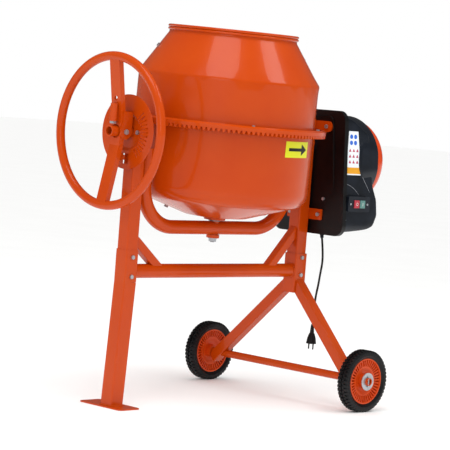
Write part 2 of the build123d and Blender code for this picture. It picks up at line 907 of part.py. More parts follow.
def spoke_cheek(side):
    """Plate on a side of the spoke that takes the pivot bolt."""
    half = spoke_width / 2
    low, high = sorted((side * half, side * (half + cheek_thickness)))
    left = pivot_x - 16
    right = pivot_x + cheek_end_radius
    points = [(left, tilt_height), (right, tilt_height), (right, tilt_height + cheek_top - 6)]
    points += [(right - 6, tilt_height + cheek_top), (left, tilt_height + cheek_top)]
    plate = plate_xz(ring_of(points), low, high)
    plate += rod((pivot_x, low, tilt_height), (pivot_x, high, tilt_height), cheek_end_radius)
    return plate - pivot_hole()


def pivot_bolt():
    half = spoke_width / 2 + cheek_thickness
    return bolt((pivot_x, -half, tilt_height), (0, 1, 0), 2 * half, pivot_radius, 8.5, 5.5)


def spring_sleeve():
    """Upright sleeve on the spoke's outer face, round the lock spring."""
    low = tilt_height + spring_sleeve_low
    high = low + spring_sleeve_length
    x = spoke_hub_face - spring_sleeve_radius - 3
    sleeve = rod((x, 0, low), (x, 0, high), spring_sleeve_radius)
    web = block((x, -6, low + 4), (spoke_hub_face + 1, 6, high - 4))
    whole = sleeve + web - plate_xz(ring_of(spoke_line(0) + spoke_line(40)[::-1]), -30, 30)
    return whole - rod((x, 0, low), (x, 0, high - 4), 8)


def lock_plunger():
    """Draw bolt in the sleeve, whose spring pulls the wheel toward its lock."""
    low = tilt_height + trunnion_radius + plunger_room
    x = spoke_hub_face - spring_sleeve_radius - 3
    stem = rod((x, 0, low), (x, 0, tilt_height + spring_sleeve_low + 8), 4)
    head = hexagon((x, 0, low), (x, 0, low + 7), 10)
    cap = rod((x, 0, tilt_height + spring_sleeve_low), (x, 0, tilt_height + spring_sleeve_low + 8), 8)
    return stem + head + cap


def lock_tongue():
    """Flat tongue behind the spoke that drops into the disc's slots."""
    inner = spoke_hub_face + spoke_wall
    tip = disc_plane - disc_thickness - tongue_gap
    top = tilt_height - 48
    tab_top = tilt_height - park_slot_inner - tongue_room
    tab_low = tilt_height - slot_outer + tongue_room
    points = [
        (inner - 4, top),
        (inner + 12, top),
        (tip - tab_length, tab_top + 4),
        (tip - tab_length, tab_top),
        (tip, tab_top),
        (tip, tab_low),
        (tip - tab_length, tab_low),
        (inner + 8, tab_low - 10),
        (inner - 12, tab_low - 10),
    ]
    half = tongue_thickness / 2
    plate = plate_xz(ring_of(points), -half, half)
    return plate - plate_xz(ring_of(spoke_line(-40) + spoke_line(spoke_wall)[::-1]), -30, 30)


# ---------------------------------------------------------------- wheels
def tyre(side):
    """Tyre with rounded shoulders and a groove round the middle of its tread."""
    half = wheel_width / 2
    points = [
        (tyre_inner, -half + 5),
        (tyre_inner + 9, -half),
        (wheel_radius - 9, -half),
        (wheel_radius, -half + 8),
        (wheel_radius, -3),
        (wheel_radius - 4, -1.5),
        (wheel_radius - 4, 1.5),
        (wheel_radius, 3),
        (wheel_radius, half - 8),
        (wheel_radius - 9, half),
        (tyre_inner + 9, half),
        (tyre_inner, half - 5),
    ]
    return turned_y(ring_of(points), axle_x, wheel_radius, side * wheel_track / 2)


def rim(side):
    """Moulded wheel: barrel, web, hub and ribs on both faces."""
    middle = side * wheel_track / 2
    half = wheel_width / 2 - 5
    hub_half = wheel_hub_length / 2
    place = Location((axle_x, middle, wheel_radius)) * Rot(90, 0, 0)
    bore = axle_radius + running
    barrel = extrude(Circle(tyre_inner) - Circle(tyre_inner - rim_thickness), half, both=True)
    web = extrude(Circle(tyre_inner - 2), rim_web / 2, both=True)
    hub = extrude(Circle(wheel_hub_radius), hub_half - 2, both=True)
    rib = Location(((tyre_inner + wheel_hub_radius) / 2 - 2, 0, 0)) * Box(
        tyre_inner - wheel_hub_radius - 2, rib_thickness, 2 * half - 4
    )
    ribs = [Rot(0, 0, index * 360 / rim_ribs) * rib for index in range(rim_ribs)]
    body = barrel.fuse(web, hub, *ribs)
    body -= extrude(Circle(bore), wheel_hub_length, both=True)
    return place * body


def wheel_washers():
    """Zinc washers outside the hubs, each held by a pin through the axle."""
    made = []
    for side in (-1, 1):
        start = side * (hub_end() + gap)
        end = side * (hub_end() + gap + washer_thickness)
        washer = tube((axle_x, start, wheel_radius), (axle_x, end, wheel_radius), washer_radius, axle_radius)
        y = side * pin_y()
        pin = rod((axle_x, y, wheel_radius - 17), (axle_x, y, wheel_radius + 17), 2.5)
        made += [washer, pin]
    return made


# ---------------------------------------------------------------- drive
def plate_outline(inset, rounding):
    """Outline of the motor's back plate in (y, z), drawn in by the inset."""
    points = [
        (plate_near_bottom + inset, plate_bottom + inset),
        (plate_far_bottom - inset, plate_bottom + inset),
        (plate_far_top - inset, plate_top - inset),
        (plate_near_top + inset, plate_top - inset),
    ]
    return fillet(make_face(ring_of(points)).vertices(), rounding)


def back_plate():
    """Sheet steel tray behind the right post that carries the drive."""
    plane = Plane.YZ.offset(plate_x)
    deep = plate_thickness + plate_lip
    tray = extrude(plane * plate_outline(0, plate_round), deep)
    inner = plate_outline(plate_thickness, plate_round - plate_thickness)
    tray -= extrude(Plane.YZ.offset(plate_back) * inner, deep)
    tray -= rod((plate_x - 5, 0, tilt_height), (plate_x + 9, 0, tilt_height), plate_hole_radius)
    tray -= rod((plate_x - 9, lone_bolt_y, lone_bolt_z), (plate_back + 9, lone_bolt_y, lone_bolt_z), m6)
    return tray - strap_bolt_holes() - mount_holes()


def strap_places():
    return [
        (-lower_strap_bolt, lower_strap_z),
        (lower_strap_bolt, lower_strap_z),
        (-upper_strap_bolt, upper_strap_z),
        (upper_strap_bolt, upper_strap_z),
    ]


def strap_bolt_holes():
    return [rod((plate_x - 20, y, z), (plate_x + 20, y, z), m8) for y, z in strap_places()]


def strap(z, half, rounding):
    """Flat bar across the right post, which the back plate is bolted to."""
    high = strap_height / 2
    low_x = plate_x - strap_thickness
    bar = block((low_x, -half, z - high), (plate_x, half, z + high))
    bar = fillet(bar.edges().filter_by(Axis.X), rounding)
    return bar - strap_bolt_holes()


def strap_bolts():
    seat = plate_x - strap_thickness
    grip = strap_thickness + plate_thickness
    return [bolt((seat, y, z), (1, 0, 0), grip) for y, z in strap_places()]


def cover_side():
    """Side profile of the motor cover in (x, z)."""
    return [
        (plate_back, plate_bottom + 11),
        (556, plate_bottom + 23),
        (588, plate_bottom + 37),
        (607, plate_bottom + 72),
        (603, plate_bottom + 124),
        (583, plate_bottom + 168),
        (572, plate_top - 150),
        (558, plate_top - 74),
        (480, plate_top - 28),
        (plate_back, plate_top - 12),
    ]


def cover_body(inset):
    """Outer shape of the cover, drawn in by the inset on every side but the back."""
    side = make_face(ring_of(cover_side()))
    side = fillet(side.vertices().filter_by(lambda v: v.X > plate_back + 1), 16)
    if inset:
        side = offset(side, -inset, kind=Kind.ARC)
        side += Location((plate_back + inset / 2 + 1, 750)) * Rectangle(inset + 2, 360)
    width = 400
    profile = extrude(Plane.XZ.offset(-width / 2) * side, width)
    front = extrude(Plane.YZ.offset(plate_back) * plate_outline(cover_inset + inset, 26), 240)
    whole = profile & front
    reach = dome_base - inset
    round_collar = rod((collar_start + inset, 0, dome_z), (reach, 0, dome_z), collar_radius - inset)
    return whole + (round_collar & front)


def motor_cover():
    """Moulded cover over the belt and the motor."""
    hollow = cover_body(0) - cover_body(cover_wall)
    hollow -= rod((dome_base - 30, 0, dome_z), (dome_base + 60, 0, dome_z), dome_radius - 14)
    near = plate_near_bottom + cover_inset
    x_mid = (switch_x[0] + switch_x[1]) / 2
    z_mid = (switch_z[0] + switch_z[1]) / 2
    hollow -= block((x_mid - 30, near - 9, z_mid - 16), (x_mid + 30, near + 20, z_mid + 16))
    hollow -= rod((dome_base, 0, dome_z), (dome_base + 60, 0, dome_z), dome_radius)
    x, y = cord_route[0][0], cord_route[0][1] + 1.5
    return hollow - rod((x, y, gland_seat - 9), (x, y, gland_seat + 20), gland_radius)


def dome():
    """Round vented cap on the outer face of the cover."""
    crown = dome_base + dome_height
    arc_mid = (dome_base + dome_height * 0.72, dome_radius * 0.74)
    inner_mid = (arc_mid[0] - dome_wall * 0.75, arc_mid[1] - dome_wall * 0.75)
    outer = ThreePointArc((dome_base, dome_radius), arc_mid, (crown, 0))
    inner = ThreePointArc((crown - dome_wall, 0), inner_mid, (dome_base, dome_radius - dome_wall))
    edges = [outer, Line((crown, 0), (crown - dome_wall, 0)), inner]
    edges.append(Line((dome_base, dome_radius - dome_wall), (dome_base, dome_radius)))
    cap = turned_x(edges, 0, dome_z)
    vents = []
    for step in range(-4, 5):
        half = math.sqrt(max(108.0**2 - (step * 20.0) ** 2, 1))
        low = (dome_base + 10, -half, dome_z + step * 20 - 4)
        vents.append(block(low, (crown + 9, half, dome_z + step * 20 + 4)))
    return cap - vents


def motor_mount():
    """Plate that carries the motor, on four posts from the back plate."""
    low = motor_face - mount_thickness
    plate = block((low, -mount_half(), motor_z - mount_half()), (motor_face, mount_half(), motor_z + mount_half()))
    plate = fillet(plate.edges().filter_by(Axis.X), 10)
    for y, z in mount_places():
        plate += rod((plate_back, y, z), (low + 1, y, z), mount_post_radius)
        plate += rod((plate_x, y, z), (plate_back, y, z), 3)
    return plate - rod((low - 9, 0, motor_z), (motor_face + 9, 0, motor_z), motor_shaft_radius + 6)


def mount_half():
    return 68.0


def mount_places():
    reach = mount_half() - 9
    return [(y, motor_z + z) for y in (-reach, reach) for z in (-reach, reach)]


def mount_holes():
    return [rod((plate_x - 5, y, z), (plate_back + 5, y, z), 3) for y, z in mount_places()]


def motor_body():
    """Electric motor with cooling ribs and a rounded end."""
    end = motor_face + motor_length
    body = rod((motor_face, 0, motor_z), (end, 0, motor_z), motor_radius - 4)
    body = fillet(body.edges().sort_by(Axis.X)[-1], 12)
    ribs = []
    for index in range(24):
        rib = block((motor_face + 8, motor_radius - 8, -1.5), (end - 20, motor_radius, 1.5))
        ribs.append(Location((0, 0, motor_z)) * Rot(index * 15, 0, 0) * rib)
    body = body.fuse(*ribs)
    return body - rod((motor_face - 1, 0, motor_z), (motor_face + 40, 0, motor_z), motor_shaft_radius + running)


def pulley(z, radius, bore):
    """Grooved pulley on an axis along X."""
    half = pulley_width / 2
    floor = radius - belt_height / 2 - belt_play
    rim_at = radius + pulley_flange
    groove = belt_width / 2 + 1
    points = [
        (belt_plane - half, bore),
        (belt_plane + half, bore),
        (belt_plane + half, rim_at),
        (belt_plane + groove + 1, rim_at),
        (belt_plane + groove, floor),
        (belt_plane - groove, floor),
        (belt_plane - groove - 1, rim_at),
        (belt_plane - half, rim_at),
    ]
    return turned_x(ring_of(points), 0, z)


def motor_shaft():
    low = belt_plane - pulley_width / 2
    return rod((low, 0, motor_z), (motor_face + 38, 0, motor_z), motor_shaft_radius)


def belt():
    """Belt round the two pulleys: a band between two rounded loops."""
    outer = belt_loop(belt_height / 2)
    inner = belt_loop(-belt_height / 2)
    return extrude(Plane.YZ.offset(belt_plane - belt_width / 2) * (outer - inner), belt_width)


def belt_loop(grow):
    """Filled outline round both pulleys in (y, z), its pitch line grown by the amount."""
    span = tilt_height - motor_z
    big = driven_radius + grow
    small = motor_pulley_radius + grow
    lean = math.asin((driven_radius - motor_pulley_radius) / span)
    corners = []
    for radius, z in ((small, motor_z), (big, tilt_height)):
        corners.append((radius * math.cos(lean), z - radius * math.sin(lean)))
    right = [corners[0], corners[1]]
    left = [(-y, z) for y, z in right[::-1]]
    middle = make_face(ring_of(right + left))
    top = Location((0, tilt_height)) * Circle(big)
    return middle + top + Location((0, motor_z)) * Circle(small)


def pinion_face(x):
    """Pinion's outline on the plane at x, in (y, z) about the tilt axis."""
    module = gear_module(x)
    pitch = x * tooth_slope
    base = pitch * math.cos(pressure_angle)
    tip = pitch + addendum_modules * module
    root = pitch - dedendum_modules * module

    def involute(radius):
        angle = math.acos(min(base / max(radius, base), 1))
        return math.tan(angle) - angle

    at_pitch = math.pi / (2 * pinion_teeth) - flank_play / 2 / pitch
    radii = [root, base, base + (tip - base) * 0.35, base + (tip - base) * 0.7, tip]
    flank = [(r, at_pitch + involute(pitch) - involute(r)) for r in radii]
    points = []
    for tooth in range(pinion_teeth):
        middle = math.pi / 2 + tooth * 2 * math.pi / pinion_teeth
        for radius, half in flank:
            points.append((radius * math.cos(middle - half), radius * math.sin(middle - half)))
        for radius, half in flank[::-1]:
            points.append((radius * math.cos(middle + half), radius * math.sin(middle + half)))
    return Plane.YZ.offset(x) * make_face(ring_of(points))


def pinion():
    """Bevel pinion whose teeth run to the point where the drum's axis crosses the tilt axis."""
    body = loft([pinion_face(tooth_inner_radius), pinion_face(pinion_outer)], ruled=True)
    body = Location((0, 0, tilt_height)) * body
    return body - rod((200, 0, tilt_height), (400, 0, tilt_height), shaft_radius)


def pinion_shaft():
    low = tooth_inner_radius - 2
    high = belt_plane + pulley_width / 2 + 3
    return rod((low, 0, tilt_height), (high, 0, tilt_height), shaft_radius)


# ---------------------------------------------------------------- switch
def near_wall(z):
    """The cover's near side wall at a height, along Y."""
    share = (z - plate_bottom) / (plate_top - plate_bottom)
    return plate_near_bottom + cover_inset + (plate_near_top - plate_near_bottom) * share


def switch_face():
    return near_wall(switch_z[0]) - switch_depth


def button_places():
    x_mid = (switch_x[0] + switch_x[1]) / 2
    z_mid = (switch_z[0] + switch_z[1]) / 2
    return [(x_mid - 14, z_mid), (x_mid + 14, z_mid)]


def switch_box():
    """Switch housing on the cover's near side, open behind its two buttons."""
    low = (switch_x[0], switch_face(), switch_z[0])
    high = (switch_x[1], 0, switch_z[1])
    box = fillet(block(low, high).edges().filter_by(Axis.Y), 5)
    box -= cover_body(0)
    box &= block((400, -400, 0), (700, -100, 999))
    for x, z in button_places():
        wide, tall = button_width / 2 + 0.4, button_height / 2 + 0.4
        box -= block((x - wide, switch_face() - 9, z - tall), (x + wide, 0, z + tall))
    return box


def button(place):
    """Push button that slides in along +Y."""
    x, z = place
    front = switch_face() - button_travel - button_proud
    back = near_wall(switch_z[1]) + 2
    wide, tall = button_width / 2, button_height / 2
    body = block((x - wide, front, z - tall), (x + wide, back, z + tall))
    return fillet(body.faces().sort_by(Axis.Y)[0].edges(), 1.5)


def lone_bolt():
    """Bolt and washer on the face of the back plate."""
    place = (plate_x, lone_bolt_y, lone_bolt_z)
    return bolt(place, (1, 0, 0), plate_thickness, m6, m6_head + 1, m6_head_height)


# ---------------------------------------------------------------- cord
def cord_path():
    """The cord's centre line: straight runs joined by arcs as large as the runs allow."""
    points = [Vector(*p) for p in cord_route]
    radii = []
    for before, at, after in zip(points, points[1:], points[2:]):
        into, out = at - before, after - at
        turn = math.radians(into.get_angle(out))
        radii.append(0.45 * min(into.length, out.length) / math.tan(turn / 2))
    print("cord radii", [round(r) for r in radii])
    return FilletPolyline(*points, radius=radii)


def cord_tube():
    path = cord_path()
    body = swept(path, cord_radius)
    share = body.volume / (math.pi * cord_radius**2 * path.length)
    print("cord length", round(path.length, 1), "volume share", round(share, 5))
    return body


def cord_end_way():
    return (Vector(*cord_route[-1]) - Vector(*cord_route[-2])).normalized()


def cord_start_way():
    return (Vector(*cord_route[1]) - Vector(*cord_route[0])).normalized()


def cable_gland():
    """Gland under the cover where the cord leaves, with its nut inside."""
    way = cord_start_way()
    mouth = Vector(*cord_route[0])
    x, y, seat = mouth.X, mouth.Y, gland_seat
    gland = rod(mouth, mouth - way * (gland_seat - 12 - mouth.Z), 6)
    gland += rod((x, y + 1.5, seat - 14), (x, y + 1.5, seat - 9), 7.5)
    gland += hexagon((x, y + 1.5, seat - 9), (x, y + 1.5, seat), 9.5)
    return gland + rod((x, y + 1.5, seat), (x, y + 1.5, seat + 10), gland_radius)


def strain_relief():
    """Tapered sleeve between the cord and the plug."""
    way = cord_end_way()
    start = Vector(*cord_route[-1])
    plane = Plane(origin=start, z_dir=way)
    end = Plane(origin=start + way * strain_length, z_dir=way)
    return loft([plane * Circle(cord_radius + 1.5), end * Circle(cord_radius + 4)])


def plug_plane(distance):
    way = cord_end_way()
    origin = Vector(*cord_route[-1]) + way * distance
    return Plane(origin=origin, x_dir=(0, 1, 0), z_dir=way)


def plug_body():
    """Round two-pin plug body, widening toward its face."""
    sections = [
        plug_plane(strain_length) * Circle(plug_radius * 0.55),
        plug_plane(strain_length + plug_length * 0.5) * Circle(plug_radius * 0.86),
        plug_plane(strain_length + plug_length) * Circle(plug_radius),
    ]
    return loft(sections, ruled=True)


def plug_pins():
    plane = plug_plane(strain_length + plug_length)
    made = []
    for side in (-1, 1):
        spot = plane * Location((side * pin_spacing / 2, 0)) * Circle(pin_radius)
        pin = extrude(spot, pin_length)
        made.append(pin)
    return made


# ---------------------------------------------------------------- the whole mixer
os.makedirs("parts", exist_ok=True)

leg_bolt_heights = (402.0, 462.0)
socket_bolt_heights = (404.0, 462.0)
left_upright = shank_holes(left_post(), left_post_x, leg_bolt_heights)
export("bearing_sleeves", bearing_sleeve(left_post_x), bearing_sleeve(right_post_x))
bearing_bore = rod((-999, 0, tilt_height), (999, 0, tilt_height), sleeve_radius)
export("left_post", left_upright - bearing_bore)
export("left_leg", shank_holes(leg_body(False), left_post_x, leg_bolt_heights))
export("foot_plate", foot_plate())
export("cross_tube", cross_tube())
left_brace = brace(left_brace_low, left_brace_high, -1)
export("corner_braces", left_brace, brace(right_brace_low, right_brace_high, 1))
right_upright = shank_holes(right_post(), right_post_x, socket_bolt_heights)
export("right_post", right_upright - bearing_bore)
export("wheel_frame_socket", shank_holes(socket(), right_post_x, socket_bolt_heights))
export("axle_legs", axle_leg(-1), axle_leg(1))
export("axle_tube", axle())
export("frame_bolts", *frame_bolts(), *disc_bolts())

export("disc_bracket", disc_bracket())
export("locking_disc", locking_disc())

export_leaning("yoke_tube", yoke_tube())
export_leaning("yoke_ears", ear(-1), ear(1))
export_leaning("left_trunnion", trunnion(-1))
export_leaning("right_trunnion", trunnion(1))
export_leaning("shaft_bushes", *shaft_bushes())
export_leaning("centre_boss", centre_boss())
export_leaning("spindle", spindle())
export_leaning("spindle_nut", *spindle_nut())

export_leaning("drum_lower", drum_lower())
export_leaning("drum_upper", drum_upper())
export_leaning("mouth_ring", mouth_ring())
export_leaning("ring_gear", ring_gear())
export_leaning("drum_hub", drum_hub())
export_leaning("drum_bearings", *drum_bearings())
export_leaning("mixing_blades", blade(0), blade(180))
export_leaning("drum_bolts", *gear_bolts(), *blade_bolts())

export_leaning("handwheel_rim", handwheel_rim())
export_leaning("handwheel_spoke", handwheel_spoke())
export_leaning("spoke_cheeks", spoke_cheek(-1), spoke_cheek(1))
export_leaning("pivot_bolt", pivot_bolt())
export_leaning("spring_sleeve", spring_sleeve())
export_leaning("lock_plunger", lock_plunger())
export_leaning("lock_tongue", lock_tongue())

for side, name in ((-1, "near"), (1, "far")):
    export(f"{name}_tyre", tyre(side))
    export(f"{name}_wheel", rim(side))
export("wheel_washers", *wheel_washers())

export("back_plate", back_plate())
lower_strap = strap(lower_strap_z, lower_strap_half, 3)
export("motor_straps", lower_strap, strap(upper_strap_z, upper_strap_half, strap_height / 2 - 0.5))
export("strap_bolts", *strap_bolts(), lone_bolt())
export("motor_cover", motor_cover())
export("vent_dome", dome())
export("motor_mount", motor_mount())
export("motor_body", motor_body())
export("motor_pulley", pulley(motor_z, motor_pulley_radius, motor_shaft_radius), motor_shaft())
export_leaning("driven_pulley", pulley(tilt_height, driven_radius, shaft_radius))
export("drive_belt", belt())
export_leaning("pinion", pinion())
export_leaning("pinion_shaft", pinion_shaft())

export("switch_box", switch_box())
export("off_button", button(button_places()[0]))
export("on_button", button(button_places()[1]))

export("cable_gland", cable_gland())
export("power_cord", cord_tube())
export("strain_relief", strain_relief())
export("mains_plug", plug_body(), *plug_pins())
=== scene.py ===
import json
import math

import bmesh
import bpy
import numpy as np
from mathutils import Matrix, Vector


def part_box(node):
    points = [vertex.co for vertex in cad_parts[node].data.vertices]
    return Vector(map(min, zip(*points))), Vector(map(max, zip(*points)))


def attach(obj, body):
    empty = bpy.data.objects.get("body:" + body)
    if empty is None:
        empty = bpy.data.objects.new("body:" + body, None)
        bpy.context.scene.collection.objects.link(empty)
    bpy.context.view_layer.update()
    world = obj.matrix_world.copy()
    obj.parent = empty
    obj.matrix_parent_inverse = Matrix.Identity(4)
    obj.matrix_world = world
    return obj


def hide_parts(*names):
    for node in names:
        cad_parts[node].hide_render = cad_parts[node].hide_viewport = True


# A tilting-drum concrete mixer in glossy orange powder coat, in metres. +Z is up, +X runs along
# the tilt axis from the handwheel to the motor, and the drum is emptied toward +Y.
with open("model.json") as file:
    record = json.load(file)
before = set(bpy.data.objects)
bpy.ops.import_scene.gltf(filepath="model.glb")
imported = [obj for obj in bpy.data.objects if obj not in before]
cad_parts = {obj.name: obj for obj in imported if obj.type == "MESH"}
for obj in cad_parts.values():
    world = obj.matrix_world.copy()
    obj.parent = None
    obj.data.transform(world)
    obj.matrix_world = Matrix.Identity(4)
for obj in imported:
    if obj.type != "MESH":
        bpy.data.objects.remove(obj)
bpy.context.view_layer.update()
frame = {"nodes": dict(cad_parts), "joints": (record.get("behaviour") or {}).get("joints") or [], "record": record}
nodes = frame["nodes"]
joints = {joint["name"]: joint for joint in frame["joints"]}


# ---------------------------------------------------------------- camera
# A long lens a little above the tilt axis, on the handwheel's corner. The view is rolled a few
# degrees, so uprights lean to the right.
tilt_axis = Vector(joints["drum_tilt"]["pos_m"])
view_azimuth = math.radians(45.304)
view_elevation = math.radians(3.424)
view_roll = math.radians(4.485)
camera_place = tilt_axis + Vector((-4.650, -4.639, 0.1215))

toward_camera = Vector(
    (
        -math.sin(view_azimuth) * math.cos(view_elevation),
        -math.cos(view_azimuth) * math.cos(view_elevation),
        math.sin(view_elevation),
    )
)
level_right = Vector((math.cos(view_azimuth), -math.sin(view_azimuth), 0))
level_up = toward_camera.cross(level_right)
rolled_right = level_right * math.cos(view_roll) + level_up * math.sin(view_roll)
rolled_up = level_up * math.cos(view_roll) - level_right * math.sin(view_roll)
camera_data = bpy.data.cameras.new("camera")
camera_data.sensor_width = 36
camera_data.lens = 164.9
camera_data.shift_x = 0.0006
camera_data.shift_y = -0.0047
camera_data.clip_end = 60
camera = bpy.data.objects.new("camera", camera_data)
turn = Matrix((rolled_right, rolled_up, toward_camera)).transposed().to_4x4()
camera.matrix_world = Matrix.Translation(camera_place) @ turn
bpy.context.scene.collection.objects.link(camera)
bpy.context.scene.camera = camera


# ---------------------------------------------------------------- power cord
# A 7 mm black rubber lead, which hangs from its gland under the motor cover to a moulded
# two-pin plug. It is extruded rubber, matt and slightly soft.
def linear(code):
    """A colour written as sRGB hex, turned to linear values with alpha 1."""
    part = np.array([int(code[at : at + 2], 16) for at in (0, 2, 4)]) / 255
    value = np.where(part <= 0.04045, part / 12.92, ((part + 0.055) / 1.055) ** 2.4)
    return (*value.tolist(), 1.0)


def add(tree, kind, sockets=None, **settings):
    """Adds a node of the kind, with its settings and its input values or links."""
    made = tree.nodes.new(kind)
    for name, value in settings.items():
        setattr(made, name, value)
    for name, value in (sockets or {}).items():
        if isinstance(value, bpy.types.NodeSocket):
            tree.links.new(value, made.inputs[name])
        else:
            made.inputs[name].default_value = value
    return made


def new_material(name):
    """An empty material and the node tree that its surface is built in."""
    material = bpy.data.materials.new(name)
    material.use_nodes = True
    material.node_tree.nodes.clear()
    return material, material.node_tree


def finish_material(tree, shader):
    """Joins the shader to the material's output."""
    output = add(tree, "ShaderNodeOutputMaterial")
    tree.links.new(shader.outputs[0], output.inputs["Surface"])


def two_shades(tree, where, codes, size, detail, span):
    """A colour that drifts between two shades as noise of the size in metres goes over the span."""
    drift = add(tree, "ShaderNodeTexNoise", {"Vector": where, "Scale": 1 / size, "Detail": detail})
    share = add(
        tree,
        "ShaderNodeMapRange",
        {"Value": drift.outputs["Fac"], "From Min": span[0], "From Max": span[1]},
    )
    mixed = add(
        tree,
        "ShaderNodeMixRGB",
        {"Fac": share.outputs["Result"], "Color1": linear(codes[0]), "Color2": linear(codes[1])},
    )
    return mixed.outputs["Color"]


def rubber_material(name, code, roughness, grain):
    """Moulded black rubber: nearly black, broad dull sheen, with a fine matt grain."""
    material, tree = new_material(name)
    where = add(tree, "ShaderNodeTexCoord").outputs["Object"]
    colour = two_shades(tree, where, (code, "141416"), 0.03, 2.0, (0.35, 0.7))
    fine = add(tree, "ShaderNodeTexNoise", {"Vector": where, "Scale": 1 / grain, "Detail": 3.0})
    lift = add(
        tree,
        "ShaderNodeBump",
        {"Height": fine.outputs["Fac"], "Distance": 0.0003, "Strength": 0.5},
    )
    shader = add(
        tree,
        "ShaderNodeBsdfPrincipled",
        {
            "Base Color": colour,
            "Roughness": roughness,
            "Specular IOR Level": 0.3,
            "Normal": lift.outputs["Normal"],
        },
    )
    finish_material(tree, shader)
    return material


cord_rubber = rubber_material("black_rubber_lead", "0B0B0C", 0.5, 0.0012)
drum_x = tilt_axis.x
cord_places = [
    (0.4440, -0.0580, 0.532),
    (0.4440, -0.0650, 0.497),
    (0.4445, -0.0690, 0.452),
    (0.4450, -0.0625, 0.414),
    (0.4445, -0.0585, 0.376),
    (0.4440, -0.0520, 0.340),
    (0.4435, -0.0490, 0.304),
    (0.4438, -0.0475, 0.270),
    (0.4438, -0.0475, 0.240),
]
cord_radius = 0.0035
cord_curve = bpy.data.curves.new("power_lead", "CURVE")
cord_curve.dimensions = "3D"
cord_curve.bevel_depth = cord_radius
cord_curve.bevel_resolution = 6
cord_curve.resolution_u = 24
cord_spline = cord_curve.splines.new("NURBS")
cord_spline.points.add(len(cord_places) - 1)
for point, (x, y, z) in zip(cord_spline.points, cord_places):
    point.co = (x + drum_x, y, z, 1)
cord_spline.order_u = 3
cord_spline.use_endpoint_u = True
cord_curve.materials.append(cord_rubber)
power_lead = bpy.data.objects.new("power_lead", cord_curve)
bpy.context.scene.collection.objects.link(power_lead)
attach(power_lead, "frame")
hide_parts("power_cord")


# ---------------------------------------------------------------- floor and light
# A pale studio floor in front of a white surround, two large soft lights overhead that show as
# windows on the drum's cone, and a weaker one from the front left.
floor_half = 40.0
floor_mesh = bpy.data.meshes.new("floor")
corners = [(-floor_half, -floor_half, 0), (floor_half, -floor_half, 0)]
corners += [(floor_half, floor_half, 0), (-floor_half, floor_half, 0)]
floor_mesh.from_pydata(corners, [], [(0, 1, 2, 3)])
floor = bpy.data.objects.new("floor", floor_mesh)
bpy.context.scene.collection.objects.link(floor)
pale_floor, floor_tree = new_material("pale_studio_floor")
floor_where = add(floor_tree, "ShaderNodeTexCoord").outputs["Object"]
floor_colour = two_shades(floor_tree, floor_where, ("FCFCFB", "FEFEFD"), 0.4, 2.0, (0.3, 0.7))
floor_shader = add(
    floor_tree,
    "ShaderNodeBsdfPrincipled",
    {"Base Color": floor_colour, "Roughness": 0.9, "Specular IOR Level": 0.05},
)
finish_material(floor_tree, floor_shader)
floor_mesh.materials.append(pale_floor)

studio = bpy.data.worlds.new("studio")
studio.use_nodes = True
studio_tree = studio.node_tree
surround = studio_tree.nodes["Background"]
surround.inputs["Color"].default_value = (1, 1, 1, 1)
rays = add(studio_tree, "ShaderNodeLightPath")
strength = add(
    studio_tree,
    "ShaderNodeMapRange",
    {"Value": rays.outputs["Is Glossy Ray"], "To Min": 1.0, "To Max": 0.12},
)
studio_tree.links.new(strength.outputs["Result"], surround.inputs["Strength"])
bpy.context.scene.world = studio
bpy.context.scene.view_settings.view_transform = "Standard"


def soft_light(name, place, target, size, power):
    """A square area light at the place, turned toward the target."""
    data = bpy.data.lights.new(name, "AREA")
    data.size = size
    data.energy = power
    lamp = bpy.data.objects.new(name, data)
    lamp.location = place
    lamp.rotation_euler = (Vector(target) - Vector(place)).to_track_quat("-Z", "Y").to_euler()
    bpy.context.scene.collection.objects.link(lamp)


soft_light("left_window", (-1.25, -0.75, 3.95), (0, 0, 0.9), 1.8, 40)
soft_light("right_window", (1.25, -1.8, 3.5), (0, 0, 0.9), 1.1, 18)
soft_light("front_light", (-3.6, -2.4, 1.8), (0, 0, 0.7), 1.6, 16)


# ---------------------------------------------------------------- orange powder coat
# The stand, the drum and the yoke are steel in one glossy orange powder coat. It is thick and
# smooth with a faint orange-peel ripple, so highlights are sharp and slightly broken.
def enamel_material(name, codes, roughness, peel):
    """Glossy baked enamel: a little shade variation, an orange-peel ripple and a clear coat."""
    material, tree = new_material(name)
    where = add(tree, "ShaderNodeTexCoord").outputs["Object"]
    colour = two_shades(tree, where, codes, 0.16, 3.0, (0.3, 0.72))
    wave = add(tree, "ShaderNodeTexNoise", {"Vector": where, "Scale": 1 / 0.06, "Detail": 1.0})
    ripple = add(tree, "ShaderNodeTexNoise", {"Vector": where, "Scale": 1 / 0.0035, "Detail": 1.0})
    first = add(
        tree,
        "ShaderNodeBump",
        {"Height": wave.outputs["Fac"], "Distance": peel * 6, "Strength": 0.6},
    )
    second = add(
        tree,
        "ShaderNodeBump",
        {
            "Height": ripple.outputs["Fac"],
            "Distance": peel,
            "Strength": 0.6,
            "Normal": first.outputs["Normal"],
        },
    )
    shader = add(
        tree,
        "ShaderNodeBsdfPrincipled",
        {
            "Base Color": colour,
            "Roughness": roughness,
            "Specular IOR Level": 0.14,
            "Coat Weight": 0.24,
            "Coat Roughness": 0.05,
            "Normal": second.outputs["Normal"],
        },
    )
    finish_material(tree, shader)
    return material


orange_enamel = enamel_material("orange_powder_coat", ("BC3E02", "C24503"), 0.27, 0.00010)
slot_of = {entry["node"]: entry["material_slot"] for entry in frame["record"]["subparts"]}
shared_finish = {"orange_enamel": orange_enamel, "soft_rubber": cord_rubber}


# ---------------------------------------------------------------- drum shells
# Two pressed sheet steel halves, 2.5 mm thick, whose flanges are bolted together with the ring
# gear. The wall ripples a little where the shoulder was rolled, so its highlights wander.
lean_up = Vector(joints["drum_spin"]["axis"]).normalized()
lean_far = lean_up.cross(Vector((1, 0, 0)))


